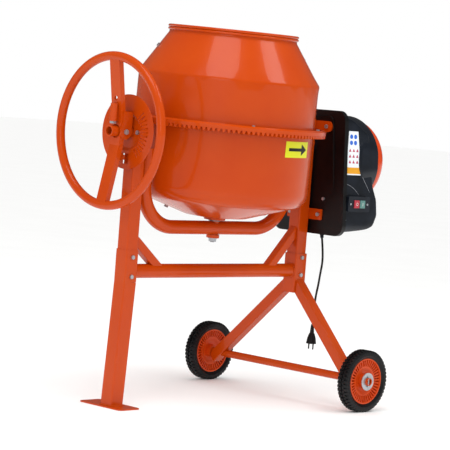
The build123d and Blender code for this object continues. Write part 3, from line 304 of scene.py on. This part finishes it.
def leaned(x, y, height):
    """Points of the tilting group: x along the tilt axis, y across it and height up the drum's
    axis, all measured from the middle of the tilt axis."""
    steps = np.stack(np.broadcast_arrays(x, y, height), -1)
    return steps @ np.array([(1, 0, 0), lean_far, lean_up], float) + np.array(tilt_axis)


def rounded_line(points, radii, arc_steps=8):
    """A line through the points with its inner corners rounded. At each corner the arc's tangent
    length is radius * tan(half the turn), and its points are spaced evenly in angle."""
    line = [np.array(points[0], float)]
    for before, corner, after, radius in zip(points, points[1:], points[2:], radii):
        before, corner, after = (np.array(p, float) for p in (before, corner, after))
        back = (before - corner) / np.linalg.norm(before - corner)
        ahead = (after - corner) / np.linalg.norm(after - corner)
        half_turn = (math.pi - math.acos(np.clip(back @ ahead, -1, 1))) / 2
        middle = (back + ahead) / np.linalg.norm(back + ahead)
        centre = corner + middle * radius / math.cos(half_turn)
        angles = np.linspace(-half_turn, half_turn, arc_steps)
        along = (ahead - back) / np.linalg.norm(ahead - back)
        sideways, inward = np.sin(angles)[:, None] * along, np.cos(angles)[:, None] * middle
        line += list(centre + radius * (sideways - inward))
    return np.array(line + [np.array(points[-1], float)])


def dense(line, step):
    """The line's points spaced at most a step apart, by length along it."""
    lengths = np.r_[0, np.cumsum(np.linalg.norm(np.diff(line, axis=0), axis=1))]
    runs = np.diff(lengths)
    counts = np.maximum(np.ceil(runs / step).astype(int), 1)
    parts = [low + run * np.arange(n) / n for low, run, n in zip(lengths, runs, counts)]
    at = np.concatenate([*parts, lengths[-1:]])
    return np.stack([np.interp(at, lengths, line[:, 0]), np.interp(at, lengths, line[:, 1])], -1)


def walled(line, thickness):
    """A closed loop from an open line: the line, then the line moved inward by the thickness
    along its own normal, run backwards."""
    way = np.gradient(line, axis=0)
    normal = np.stack([-way[:, 1], way[:, 0]], -1) / np.linalg.norm(way, axis=1)[:, None]
    return np.concatenate([line, (line + thickness * normal)[::-1]])


def grid_mesh(name, grid, wrap_rows, wrap_columns, cap_first=False, cap_last=False):
    """A mesh of quads on a grid of points, joined round in either direction, with the first and
    last rows closed by one face each if asked for."""
    rows, columns = grid.shape[:2]
    index = np.arange(rows * columns).reshape(rows, columns)
    if wrap_rows:
        index = np.concatenate([index, index[:1]])
    if wrap_columns:
        index = np.concatenate([index, index[:, :1]], 1)
    corners = [index[:-1, :-1], index[:-1, 1:], index[1:, 1:], index[1:, :-1]]
    faces = np.stack([c.ravel() for c in corners], -1).tolist()
    if cap_first:
        faces.append(index[0, :columns][::-1].tolist())
    if cap_last:
        faces.append(index[-1, :columns].tolist())
    mesh = bpy.data.meshes.new(name)
    mesh.from_pydata(grid.reshape(-1, 3).tolist(), [], faces)
    return mesh


def joined(name, meshes):
    """One mesh from several."""
    points, faces, start = [], [], 0
    for mesh in meshes:
        part = np.zeros(len(mesh.vertices) * 3)
        mesh.vertices.foreach_get("co", part)
        points.append(part.reshape(-1, 3))
        faces += [[start + i for i in face.vertices] for face in mesh.polygons]
        start += len(mesh.vertices)
    whole = bpy.data.meshes.new(name)
    whole.from_pydata(np.concatenate(points).tolist(), [], faces)
    return whole


def place_piece(mesh, body, finish, stands_for=(), sharp=35):
    """Puts a finished mesh in the scene: doubles merged, normals outward, smooth but for edges
    sharper than the angle, riding on a body and carrying the finish it is given."""
    shape = bmesh.new()
    shape.from_mesh(mesh)
    bmesh.ops.remove_doubles(shape, verts=shape.verts, dist=1e-6)
    bmesh.ops.dissolve_degenerate(shape, edges=shape.edges, dist=1e-7)
    bmesh.ops.recalc_face_normals(shape, faces=shape.faces)
    shape.to_mesh(mesh)
    shape.free()
    mesh.shade_smooth()
    mesh.set_sharp_from_angle(angle=math.radians(sharp))
    mesh.materials.append(finish)
    piece = bpy.data.objects.new(mesh.name, mesh)
    bpy.context.scene.collection.objects.link(piece)
    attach(piece, body)
    if stands_for:
        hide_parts(*stands_for)
    return piece


drum_radius = 0.287
sheet = 0.0025
belt_line = 0.0515
shoulder = 0.192
neck_radius = 0.203
neck_start = 0.319
mouth_top = 0.342
flange = 0.026
floor_height = -0.251


def turned_shell(name, line, ripple_height, ripple):
    """A wall turned about the drum's axis: x = r cos(angle), y = r sin(angle). Near the ripple
    height the radius wanders by a sum of three sine waves, faded out by a bell curve."""
    loop = walled(line, sheet)
    angle = np.linspace(0, 2 * math.pi, 240, endpoint=False)[None, :]
    radius, height = loop[:, :1], loop[:, 1:]
    wave = np.sin(7 * angle + 1.1) + 0.7 * np.sin(13 * angle + 0.4) + 0.6 * np.sin(29 * angle)
    fade = np.exp(-(((height - ripple_height) / 0.016) ** 2))
    radius = radius + ripple * wave * fade
    grid = leaned(radius * np.cos(angle), radius * np.sin(angle), height + 0 * angle)
    return grid_mesh(name, grid, True, True)


upper_points = [
    (drum_radius + flange, belt_line),
    (drum_radius - sheet, belt_line),
    (drum_radius - sheet, shoulder - 0.0015),
    (neck_radius - sheet, neck_start),
    (neck_radius - sheet, mouth_top - 0.004),
]
upper_line = dense(rounded_line(upper_points, [0.002, 0.016, 0.012]), 0.012)
upper_shell = turned_shell("drum_upper_shell", upper_line + [sheet, 0], shoulder, 0.0009)
lower_points = [
    (0.028, floor_height),
    (0.100, floor_height),
    (drum_radius, -0.189),
    (drum_radius, belt_line - sheet),
    (drum_radius + flange, belt_line - sheet),
]
lower_line = dense(rounded_line(lower_points, [0.03, 0.048, 0.002]), 0.012)
lower_shell = turned_shell("drum_lower_shell", lower_line, -0.19, 0.0002)
place_piece(upper_shell, "drum", orange_enamel, ["drum_upper"])
place_piece(lower_shell, "drum", orange_enamel, ["drum_lower"])


# ---------------------------------------------------------------- mouth hoop
# A rolled steel hoop with two beads, welded round the mouth to stiffen it and coated with the
# drum.
hoop_foot = neck_radius + 0.0006
bead_low = mouth_top - 0.018
bead_angle = np.linspace(0, math.pi, 12)
bead_rise = 0.0045 * np.sin(bead_angle)
bead_up = 0.0045 * (1 - np.cos(bead_angle))
hoop_beads = [bead_low + lift + bead_up for lift in (0, 0.009)]
hoop_outer = [np.stack([hoop_foot + bead_rise, bead_height], -1) for bead_height in hoop_beads]
hoop_loop = np.concatenate([*hoop_outer, [(neck_radius, mouth_top), (neck_radius, bead_low)]])
hoop_round = np.linspace(0, 2 * math.pi, 240, endpoint=False)[None, :]
hoop_radius, hoop_height = hoop_loop[:, :1], hoop_loop[:, 1:] + 0 * hoop_round
hoop_grid = leaned(
    hoop_radius * np.cos(hoop_round), hoop_radius * np.sin(hoop_round), hoop_height
)
hoop = grid_mesh("mouth_hoop", hoop_grid, True, True)
place_piece(hoop, "drum", orange_enamel, ["mouth_ring"], sharp=50)


# ---------------------------------------------------------------- arrow sticker
# A thin yellow vinyl sticker under the gear, with a plain black arrow that shows which way the
# drum turns. Vinyl is smooth and slightly satin.
def plain_material(name, codes, roughness, grain, lift, metallic=0.0):
    """A moulded, printed or plated surface: two close shades in broad patches and a fine grain."""
    material, tree = new_material(name)
    where = add(tree, "ShaderNodeTexCoord").outputs["Object"]
    colour = two_shades(tree, where, codes, 0.05, 2.0, (0.35, 0.68))
    fine = add(tree, "ShaderNodeTexNoise", {"Vector": where, "Scale": 1 / grain, "Detail": 3.0})
    raised = add(
        tree,
        "ShaderNodeBump",
        {"Height": fine.outputs["Fac"], "Distance": lift, "Strength": 0.5},
    )
    shader = add(
        tree,
        "ShaderNodeBsdfPrincipled",
        {
            "Base Color": colour,
            "Metallic": metallic,
            "Roughness": roughness,
            "Specular IOR Level": 0.3,
            "Normal": raised.outputs["Normal"],
        },
    )
    finish_material(tree, shader)
    return material


def drum_patch(name, angles, heights, proud):
    """A thin patch on the drum's wall, between angles in degrees and heights from the tilt axis.
    The lists give its bottom and top edges at each angle; it stands proud of the wall."""
    angle = np.radians(np.array(angles, float))[None, :]
    low, high = (np.array(edge, float)[None, :] for edge in heights)
    outer, inner = drum_radius + proud, drum_radius - 0.0004
    rows = ((outer, low), (outer, high), (inner, high), (inner, low))
    grid = [leaned(r * np.cos(angle), r * np.sin(angle), h) for r, h in rows]
    return grid_mesh(name, np.concatenate(grid), True, False)


yellow_vinyl = plain_material("yellow_vinyl", ("D9DC12", "DFE21C"), 0.35, 0.002, 0.00002)
black_vinyl = plain_material("black_vinyl", ("0C0C0D", "141415"), 0.4, 0.002, 0.00002)
sticker_turn = np.linspace(-92, -67, 14)
level = sticker_turn * 0
sticker = drum_patch("arrow_sticker", sticker_turn, [level - 0.033, level + 0.017], 0.0004)
place_piece(sticker, "drum", yellow_vinyl)
shaft_turn = np.linspace(-89, -76, 8)
head_turn = np.linspace(-76, -69.5, 6)
head_half = 0.018 * np.linspace(1, 0.02, 6)
arrow_level = -0.008
shaft_level = shaft_turn * 0 + arrow_level
arrow_shaft = drum_patch(
    "arrow_shaft", shaft_turn, [shaft_level - 0.005, shaft_level + 0.005], 0.0007
)
arrow_head = drum_patch(
    "arrow_head", head_turn, [arrow_level - head_half, arrow_level + head_half], 0.0007
)
arrow = joined("turning_arrow", [arrow_shaft, arrow_head])
place_piece(arrow, "drum", black_vinyl)


# ---------------------------------------------------------------- tyres
# Solid moulded rubber tyres, 200 mm across, pressed over the wheel centres. The tread has two
# staggered rows of blocks on each side of a groove, and the sidewall has a raised ring.
def round_wheel(name, centre, out, loop, columns, change):
    """A loop of (out along the axle, radius) turned about the axle. The change moves each point
    by an amount along (out, radius) that depends on the angle."""
    angle = np.linspace(0, 2 * math.pi, columns, endpoint=False)[None, :]
    across, radius = loop[:, :1] + 0 * angle, loop[:, 1:] + 0 * angle
    moved = change(across, radius, angle)
    across, radius = across + moved[0], radius + moved[1]
    grid = np.stack([radius * np.cos(angle), out * across, radius * np.sin(angle)], -1)
    return grid_mesh(name, grid + np.array(centre), True, True)


tyre_radius = 0.100
tyre_side = [(-0.0155, 0.074), (-0.0205, 0.083)]
side_ring = [(-0.0213, 0.0835), (-0.0213, 0.0865), (-0.0205, 0.087)]
tyre_shoulder = [(-0.0205, 0.093), (-0.0185, 0.0985), (-0.0165, tyre_radius)]
tread_line = [(across, tyre_radius) for across in (-0.0095, -0.0091, -0.0023, -0.0019)]
tyre_half_line = tyre_side + side_ring + tyre_shoulder + tread_line
tyre_loop = np.array(tyre_half_line + [(-a, r) for a, r in tyre_half_line[::-1]])
tread_blocks = 48


def tread_cut(across, radius, angle):
    """Radial cut of the tread: 4.4 mm in the middle groove, 3.6 mm in the gaps between blocks,
    whose two rows on a side are half a block apart."""
    beat = angle * tread_blocks / (2 * math.pi)
    row_shift = np.where(np.abs(across) > 0.0093, 0.5, 0.0)
    phase = np.mod(beat + row_shift + np.where(across > 0, 0.25, 0.0), 1.0)
    on_tread = radius > 0.0975
    gaps = np.where((phase < 0.3) & on_tread, -0.0036, 0.0)
    groove = np.where((np.abs(across) < 0.0021) & on_tread, -0.0044, gaps)
    return np.zeros_like(across), groove


tyre_rubber = rubber_material("moulded_tyre_rubber", "0B0B0E", 0.5, 0.002)
shared_finish["tyre_rubber"] = tyre_rubber
for side, name in ((-1, "near"), (1, "far")):
    wheel_centre = joints[f"{name}_wheel_spin"]["pos_m"]
    columns = tread_blocks * 10
    tyre = round_wheel(f"{name}_lugged_tyre", wheel_centre, side, tyre_loop, columns, tread_cut)
    place_piece(tyre, f"{name}_wheel", tyre_rubber, [f"{name}_tyre"], sharp=40)


# ---------------------------------------------------------------- wheel centres
# Moulded polypropylene centres with a ring of thin ribs inside the rim and a smooth dish that
# falls to the hub. The plastic is a shade lighter and duller than the enamel.
wheel_plastic = plain_material(
    "moulded_orange_polypropylene", ("CC4208", "D2490A"), 0.42, 0.0015, 0.00005
)
shared_finish["orange_wheel"] = wheel_plastic
wheel_ribs = 40
rim_face = [(0.0155, 0.0738), (0.0165, 0.073), (0.0165, 0.0695), (0.015, 0.069)]
rib_rows = [(0.0135, 0.0685), (0.0135, 0.064), (0.0125, 0.056), (0.011, 0.049)]
dish_rows = [(0.0105, 0.0475), (0.0105, 0.046), (0.008, 0.040), (0.004, 0.034)]
hub_rows = [(0.003, 0.0225), (0.0205, 0.0205), (0.0212, 0.0135)]
face_line = dense(np.array(rim_face + rib_rows + dish_rows + hub_rows), 0.004)
centre_loop = np.concatenate([face_line, (face_line * [-1, 1])[::-1]])


def rib_wave(across, radius, angle):
    """Ribs: between radii of 48 and 68.5 mm the face sinks by 9 mm, but for two parts in five of
    each rib's pitch."""
    phase = np.mod(angle * wheel_ribs / (2 * math.pi), 1.0)
    inside = (radius > 0.0476) & (radius < 0.0688) & (np.abs(across) > 0.006)
    sink = np.where(inside & (phase > 0.4), -0.009, 0.0)
    return sink * np.sign(across), np.zeros_like(radius)


for side, name in ((-1, "near"), (1, "far")):
    wheel_centre = joints[f"{name}_wheel_spin"]["pos_m"]
    columns = wheel_ribs * 11
    centre = round_wheel(f"{name}_wheel_centre", wheel_centre, side, centre_loop, columns, rib_wave)
    place_piece(centre, f"{name}_wheel", wheel_plastic, [f"{name}_wheel"], sharp=40)


# ---------------------------------------------------------------- motor cover
# A blue-black moulded housing that screws to the back plate. Its side walls meet the front in a
# soft 16 mm round, and a collar stands out of the front around the vent.
dark_plastic = plain_material("moulded_blue_black_abs", ("10151D", "171D27"), 0.36, 0.0012, 0.00006)
shared_finish["dark_plastic"] = dark_plastic
cover_back = 0.4175
front_profile = [
    (0.545, 0.4175),
    (0.556, 0.4175),
    (0.568, 0.556),
    (0.582, 0.588),
    (0.617, 0.607),
    (0.669, 0.603),
    (0.713, 0.583),
    (0.807, 0.572),
    (0.883, 0.558),
    (0.929, 0.480),
    (0.945, 0.4175),
    (0.957, 0.4175),
]
front_heights, front_depths = zip(*front_profile)
smooth_height = np.linspace(0.53, 0.97, 441)
raw_depth = np.interp(smooth_height, front_heights, front_depths)
bell = np.exp(-((np.arange(-10, 11) / 5.0) ** 2))
smooth_depth = np.convolve(np.pad(raw_depth, 10, mode="edge"), bell / bell.sum(), mode="valid")
cover_low, cover_high = 0.5555, 0.9465
near_low, near_high = -0.1606, -0.1318
outline_points = [
    (-0.146, 0.750),
    (near_low, cover_low),
    (0.1336, cover_low),
    (0.1054, cover_high),
    (near_high, cover_high),
    (-0.146, 0.750),
]
outline = dense(rounded_line(outline_points, [0.026] * 4, 10), 0.008)[:-1]
outline_way = np.roll(outline, -1, 0) - np.roll(outline, 1, 0)
outline_in = np.stack([-outline_way[:, 1], outline_way[:, 0]], -1)
outline_in /= np.linalg.norm(outline_in, axis=1)[:, None]
edge_round = 0.016


def cover_row(inset, sink):
    """One closed row of the cover: the outline moved inward by the inset, as deep as the front's
    profile at each point's height less the sink, and never behind the back plate."""
    spot = outline + inset * outline_in
    depth = np.maximum(np.interp(spot[:, 1], smooth_height, smooth_depth) - sink, cover_back)
    return np.stack([depth + drum_x, spot[:, 0], spot[:, 1]], -1)


wall_top = cover_row(0, edge_round)
wall_foot = wall_top * [0, 1, 1] + [cover_back + drum_x, 0, 0]
wall_rows = [wall_foot + share * (wall_top - wall_foot) for share in (0, 0.25, 0.5, 0.75)]
round_steps = [(1 - math.cos(a), 1 - math.sin(a)) for a in np.linspace(0, math.pi / 2, 8)]
round_rows = [cover_row(edge_round * inset, edge_round * sink) for inset, sink in round_steps]
flat = outline + edge_round * outline_in
flat_middle = np.array([-0.013, 0.751])
flat_rows = []
for share in np.linspace(0.04, 1, 24):
    spot = flat + share * (flat_middle - flat)
    depth = np.interp(spot[:, 1], smooth_height, smooth_depth)
    depth = np.maximum(depth, cover_back)
    flat_rows.append(np.stack([depth + drum_x, spot[:, 0], spot[:, 1]], -1))
cover_grid = np.stack([*wall_rows, *round_rows, *flat_rows])
cover_shell = grid_mesh("cover_shell", cover_grid, False, True, True, False)
vent_height = 0.790
collar_points = [(0.470, 0.130), (0.515, 0.155), (0.592, 0.152), (0.592, 0.1465), (0.572, 0.1455)]
collar_line = rounded_line(collar_points, [0.02, 0.003, 0.002], 6)
collar_loop = np.concatenate([collar_line, [(0.470, 0.128)]])
collar_round = np.linspace(0, 2 * math.pi, 160, endpoint=False)[None, :]
collar_height = collar_loop[:, 1:] * np.sin(collar_round) + vent_height
# The collar is cut off flat 5.5 mm outside the cover's slanting near wall.
collar_proud = 0.0055
wall_share = (collar_height - cover_low) / (cover_high - cover_low)
near_wall = near_low + (near_high - near_low) * wall_share - collar_proud
collar_side = np.maximum(collar_loop[:, 1:] * np.cos(collar_round), near_wall)
collar_out = collar_loop[:, :1] + 0 * collar_round + drum_x
collar_grid = np.stack([collar_out, collar_side, collar_height], -1)
collar = grid_mesh("cover_collar", collar_grid, True, True)
cover = joined("motor_cover_moulding", [cover_shell, collar])
place_piece(cover, "frame", dark_plastic, ["motor_cover"], sharp=45)


# ---------------------------------------------------------------- vent dome
# A domed cap moulded in glossy orange ABS and pressed into the collar. Level louvres in its face
# let the motor's air out.
vent_plastic = plain_material("moulded_orange_abs", ("CE3F0C", "D6460F"), 0.22, 0.003, 0.00003)
shared_finish["orange_plastic"] = vent_plastic
dome_foot, dome_base, dome_rise, dome_radius = 0.578, 0.595, 0.088, 0.145
louvre_reach, louvre_pitch, louvre_depth = 0.108, 0.020, 0.0035
dome_share = np.linspace(1, 0, 90)[:, None]
dome_round = np.linspace(0, 2 * math.pi, 256, endpoint=False)[None, :]
dome_depth = dome_base + dome_rise * np.sqrt(np.maximum(1 - dome_share**2.3, 0))
dome_up = dome_radius * dome_share * np.sin(dome_round)
dome_side = dome_radius * dome_share * np.cos(dome_round)
louvre_phase = np.mod(dome_up / louvre_pitch + 0.2, 1.0)
in_louvres = (dome_radius * dome_share < louvre_reach) & (louvre_phase < 0.4)
dome_x = dome_depth + 0 * dome_round - np.where(in_louvres, louvre_depth, 0.0)
dome_grid = np.stack([dome_x + drum_x, dome_side, dome_up + vent_height], -1)
dome_skirt = dome_grid[:1] * [0, 1, 1] + [dome_foot + drum_x, 0, 0]
vent_grid = np.concatenate([dome_skirt, dome_grid])
vent = grid_mesh("louvred_dome", vent_grid, False, True, True, False)
place_piece(vent, "frame", vent_plastic, ["vent_dome"], sharp=45)


# ---------------------------------------------------------------- cover label and seams
# A printed vinyl label on the cover's near side, with plain coloured shapes and no lettering, and
# two thin moulded seams beside it, coloured light grey as a painted highlight along their ridges.
wall_low = Vector((0, near_low, cover_low))
wall_high = Vector((0, near_high, cover_high))
wall_up = (wall_high - wall_low).normalized()
wall_out = Vector((0, -wall_up.z, wall_up.y))


def wall_plate(name, outline, proud, sunk=0.0006):
    """A thin flat plate on the cover's near wall. Its outline is in (x, z); each point is put on
    the slanting wall at that height, moved out by how proud it stands."""
    rows = []
    for lift, shrink in ((-sunk, 1.0), (proud - 0.0002, 1.0), (proud, 0.985), (proud, 0.0)):
        middle = np.mean(outline, 0)
        spot = middle + shrink * (np.array(outline, float) - middle)
        share = (spot[:, 1] - wall_low.z) / (wall_high.z - wall_low.z)
        y = wall_low.y + share * (wall_high.y - wall_low.y)
        on_wall = np.stack([spot[:, 0] + drum_x, y, spot[:, 1]], -1)
        rows.append(on_wall + lift * np.array(wall_out))
    return grid_mesh(name, np.stack(rows), False, True, True, False)


def ring_points(x, z, radius, count):
    """Corners of a regular shape round (x, z), the first at its top."""
    angle = math.pi / 2 + np.arange(count) * 2 * math.pi / count
    return np.stack([x + radius * np.cos(angle), z + radius * np.sin(angle)], -1)


def slanted(low_left, low_right, high_left, high_right, z_low, z_high):
    """A four-cornered outline with level top and bottom."""
    corners = [(low_left, z_low), (low_right, z_low), (high_right, z_high), (high_left, z_high)]
    return np.array(corners)


white_vinyl = plain_material("white_vinyl", ("E6ECF2", "EEF3F7"), 0.35, 0.002, 0.00002)
blue_ink = plain_material("blue_print", ("2A63C8", "346DD2"), 0.35, 0.002, 0.00002)
red_ink = plain_material("red_print", ("B8405A", "C04A60"), 0.35, 0.002, 0.00002)
amber_ink = plain_material("amber_print", ("E09A1E", "E8A428"), 0.35, 0.002, 0.00002)
label_outline = slanted(0.438, 0.512, 0.448, 0.494, 0.749, 0.893)
label = wall_plate("cover_label", label_outline, 0.0008)
place_piece(label, "frame", white_vinyl)
disc_places = [(x, z) for z in (0.875, 0.855) for x in (0.4605, 0.4805)]
discs = [wall_plate("disc", ring_points(x, z, 0.0075, 20), 0.0012, 0) for x, z in disc_places]
place_piece(joined("label_discs", discs), "frame", blue_ink)
triangle_places = [(x, z) for z in (0.829, 0.810, 0.791) for x in (0.455, 0.473, 0.491)]
triangles = [
    wall_plate("triangle", ring_points(x, z, 0.0072, 3), 0.0012, 0) for x, z in triangle_places
]
place_piece(joined("label_triangles", triangles), "frame", red_ink)
strip_outline = slanted(0.4405, 0.508, 0.442, 0.504, 0.753, 0.774)
strip = wall_plate("label_strip", strip_outline, 0.0012)
place_piece(strip, "frame", amber_ink)


def along_path(name, path, radii, segments, closed=False):
    """A tube round a path: each point carries a circle square to the path, of its own radius. The
    circle's first direction is the path's direction crossed with the way up, or with X."""
    path = np.array(path, float)
    way = np.roll(path, -1, 0) - np.roll(path, 1, 0) if closed else np.gradient(path, axis=0)
    way /= np.linalg.norm(way, axis=1)[:, None]
    steady = np.where(np.abs(way[:, 2:]) > 0.9, [[1.0, 0, 0]], [[0, 0, 1.0]])
    first = np.cross(way, steady)
    first /= np.linalg.norm(first, axis=1)[:, None]
    second = np.cross(way, first)
    angle = np.linspace(0, 2 * math.pi, segments, endpoint=False)[None, :, None]
    ring = np.cos(angle) * first[:, None] + np.sin(angle) * second[:, None]
    grid = path[:, None] + np.array(radii, float).reshape(-1, 1, 1) * ring
    return grid_mesh(name, grid, closed, True, not closed, not closed)


def on_near_wall(x, z, proud):
    """The point of the cover's near wall at (x, z), moved out by how proud it stands."""
    share = (z - wall_low.z) / (wall_high.z - wall_low.z)
    y = wall_low.y + share * (wall_high.y - wall_low.y)
    return [x + drum_x, y + wall_out.y * proud, z]


seam_share = np.linspace(0, 1, 16)
long_seam = [on_near_wall(0.497 + 0.062 * t, 0.775 - 0.082 * t, 0.0002) for t in seam_share]
short_seam = [
    on_near_wall(0.436 + 0.071 * t, 0.719 - 0.006 * t - 0.031 * t * t, 0.0002) for t in seam_share
]
seam_width = 0.0009 * (1 - 0.9 * np.abs(2 * seam_share - 1) ** 6)
seam_lines = [along_path("seam", line, seam_width, 8) for line in (long_seam, short_seam)]
seams = joined("cover_seams", seam_lines)
# The seams' light grey is a painted highlight, not the blue-black plastic's own colour.
seam_painted_highlight = plain_material("abs_seam_painted_highlight", ("7C7F86", "8C8F95"), 0.5, 0.001, 0.00003)
place_piece(seams, "frame", seam_painted_highlight)


# ---------------------------------------------------------------- weld beads
# Rippled beads where the foot plate, the cross tube and the yoke's boss were welded before they
# were coated. They take the same enamel.
def weld(path):
    """A closed bead along a path: its radius of 2.8 mm rises and falls by a sixth, once every
    4 mm."""
    path = np.array(path, float)
    ends = np.concatenate([path, path[:1]])
    lengths = np.r_[0, np.cumsum(np.linalg.norm(np.diff(ends, axis=0), axis=1))]
    count = int(lengths[-1] / 0.0013)
    at = np.linspace(0, lengths[-1], count, endpoint=False)
    spots = np.stack([np.interp(at, lengths, ends[:, axis]) for axis in range(3)], -1)
    ripple = 0.0028 * (1 + 0.16 * np.sin(2 * math.pi * at / 0.004))
    return along_path("bead", spots, ripple, 6, True)


def circle_path(centre, across, up, radius, count=48):
    """Points of a circle round a centre, in the plane of two directions."""
    angle = np.linspace(0, 2 * math.pi, count, endpoint=False)[:, None]
    way = np.cos(angle) * np.array(across, float) + np.sin(angle) * np.array(up, float)
    return np.array(centre) + radius * way


def welded(name, body, beads):
    """One piece from several beads, in the enamel, on a body."""
    place_piece(joined(name, beads), body, orange_enamel, sharp=80)


leg_half = 0.025
foot_x = drum_x - 0.393
weld_z = 0.0045
leg_foot = [
    (foot_x - leg_half, -leg_half, weld_z),
    (foot_x + leg_half, -leg_half, weld_z),
    (foot_x + leg_half, leg_half, weld_z),
    (foot_x - leg_half, leg_half, weld_z),
]
welded("foot_weld", "frame", [weld(leg_foot)])
cross_low, cross_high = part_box("cross_tube")
cross_z = (cross_low.z + cross_high.z) / 2
cross_r = (cross_high.z - cross_low.z) / 2 + 0.0005
cross_ends = [
    circle_path((x, 0, cross_z), (0, 1, 0), (0, 0, 1), cross_r)
    for x in (cross_low.x + 0.001, cross_high.x - 0.001)
]
welded("cross_tube_welds", "frame", [weld(end) for end in cross_ends])
# The boss's bead rises and falls, since the boss meets the underside of the yoke's round tube.
boss_turn = np.linspace(0, 2 * math.pi, 40, endpoint=False)
boss_rise = -0.3125 + 0.0052 * np.sin(boss_turn) ** 2
boss_ring = leaned(0.0155 * np.cos(boss_turn), 0.0155 * np.sin(boss_turn), boss_rise)
welded("boss_weld", "yoke", [weld(boss_ring)])


# ---------------------------------------------------------------- back plate
# Black-coated sheet steel. A shallow bead was pressed out along its top edge and round its near
# corner, to stiffen it.
black_enamel = plain_material("black_powder_coat", ("050506", "09090B"), 0.4, 0.002, 0.00004)
shared_finish["black_enamel"] = black_enamel
plate_face = drum_x + 0.4145
bead_y, bead_z = (-0.118, -0.094, -0.080, -0.02), (0.70, 0.925, 0.936, 0.936)
bead_share = np.linspace(0, 1, 40)
bead_steps = (0, 0.55, 0.62, 1)
bead_path = np.stack(
    [
        0 * bead_share + plate_face,
        np.interp(bead_share, bead_steps, bead_y),
        np.interp(bead_share, bead_steps, bead_z),
    ],
    -1,
)
bead_width = 0.0022 * (1 - 0.85 * np.abs(2 * bead_share - 1) ** 8)
plate_bead = along_path("pressed_plate_line", bead_path, bead_width, 10)
place_piece(plate_bead, "frame", black_enamel)


# ---------------------------------------------------------------- switch marks and screws
# Each button carries a raised mark: a bar for on and a ring for off. Two small zinc screws hold
# the switch's frame, and two more the cover.
button_low, button_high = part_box("on_button")
off_low, off_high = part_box("off_button")
switch_low, switch_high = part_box("switch_box")
mark_white = plain_material("white_pad_print", ("D8D8D4", "E0E0DC"), 0.5, 0.001, 0.00002)
on_x = (button_low.x + button_high.x) / 2
off_x = (off_low.x + off_high.x) / 2
mark_z = (button_low.z + button_high.z) / 2
bar_line = [(on_x, button_low.y, mark_z + up) for up in (-0.005, 0, 0.005)]
bar = along_path("bar", bar_line, [0.0009] * 3, 8)
place_piece(bar, "on_button", mark_white)
ring_line = circle_path((off_x, off_low.y, mark_z), (1, 0, 0), (0, 0, 1), 0.0042, 32)
ring = along_path("ring", ring_line, 0.0008 * np.ones(32), 6, True)
place_piece(ring, "off_button", mark_white)


def turned_stud(centre, out, profile):
    """A small turned piece: (radius, distance out) steps about a line from the centre."""
    centre = np.array(centre)
    out = np.array(out, float) / np.linalg.norm(out)
    side = np.cross(out, [0.0, 0, 1] if abs(out[2]) < 0.9 else [1.0, 0, 0])
    side /= np.linalg.norm(side)
    up = np.cross(out, side)
    rows = [circle_path(centre + out * far, side, up, radius, 24) for radius, far in profile]
    return grid_mesh("stud", np.stack(rows), False, True, True, True)


zinc = plain_material("bright_zinc_plate", ("A4A7AC", "C2C5C9"), 0.3, 0.0015, 0.00005, 0.7)
shared_finish["zinc"] = zinc
screw_head = [(0.0036, -0.001), (0.0036, 0.0006), (0.0028, 0.0016)]
screw_profile = screw_head + [(0.0014, 0.0018), (0.0012, 0.0008)]
screw_places = [(x, switch_low.y, mark_z) for x in (switch_low.x + 0.012, switch_high.x - 0.012)]
screws = [turned_stud(place, (0, -1, 0), screw_profile) for place in screw_places]
place_piece(joined("switch_screws", screws), "frame", zinc)
cover_screw_places = [on_near_wall(0.440, 0.600, 0), on_near_wall(0.440, 0.905, 0)]
cover_screws = [turned_stud(place, wall_out, screw_profile) for place in cover_screw_places]
place_piece(joined("cover_screws", cover_screws), "frame", zinc)


# ---------------------------------------------------------------- other materials
# Turned bare steel shafts, a grey cast motor, and the two buttons in moulded plastic. These nodes
# keep the shape of the CAD.
bare_steel = plain_material("turned_steel", ("6A6B6C", "818283"), 0.32, 0.0008, 0.00004, 1.0)
shared_finish["bare_steel"] = bare_steel
shared_finish["motor_grey"] = plain_material(
    "painted_cast_aluminium", ("4C5054", "5E6266"), 0.5, 0.0012, 0.00025
)
shared_finish["red_plastic"] = plain_material(
    "moulded_red_button", ("A8323F", "B53A46"), 0.4, 0.0012, 0.00003
)
shared_finish["green_plastic"] = plain_material(
    "moulded_grey_green_button", ("54807A", "618D86"), 0.4, 0.0012, 0.00003
)

for name, node in nodes.items():
    if not node.hide_render:
        node.data.materials.clear()
        node.data.materials.append(shared_finish[slot_of[name]])
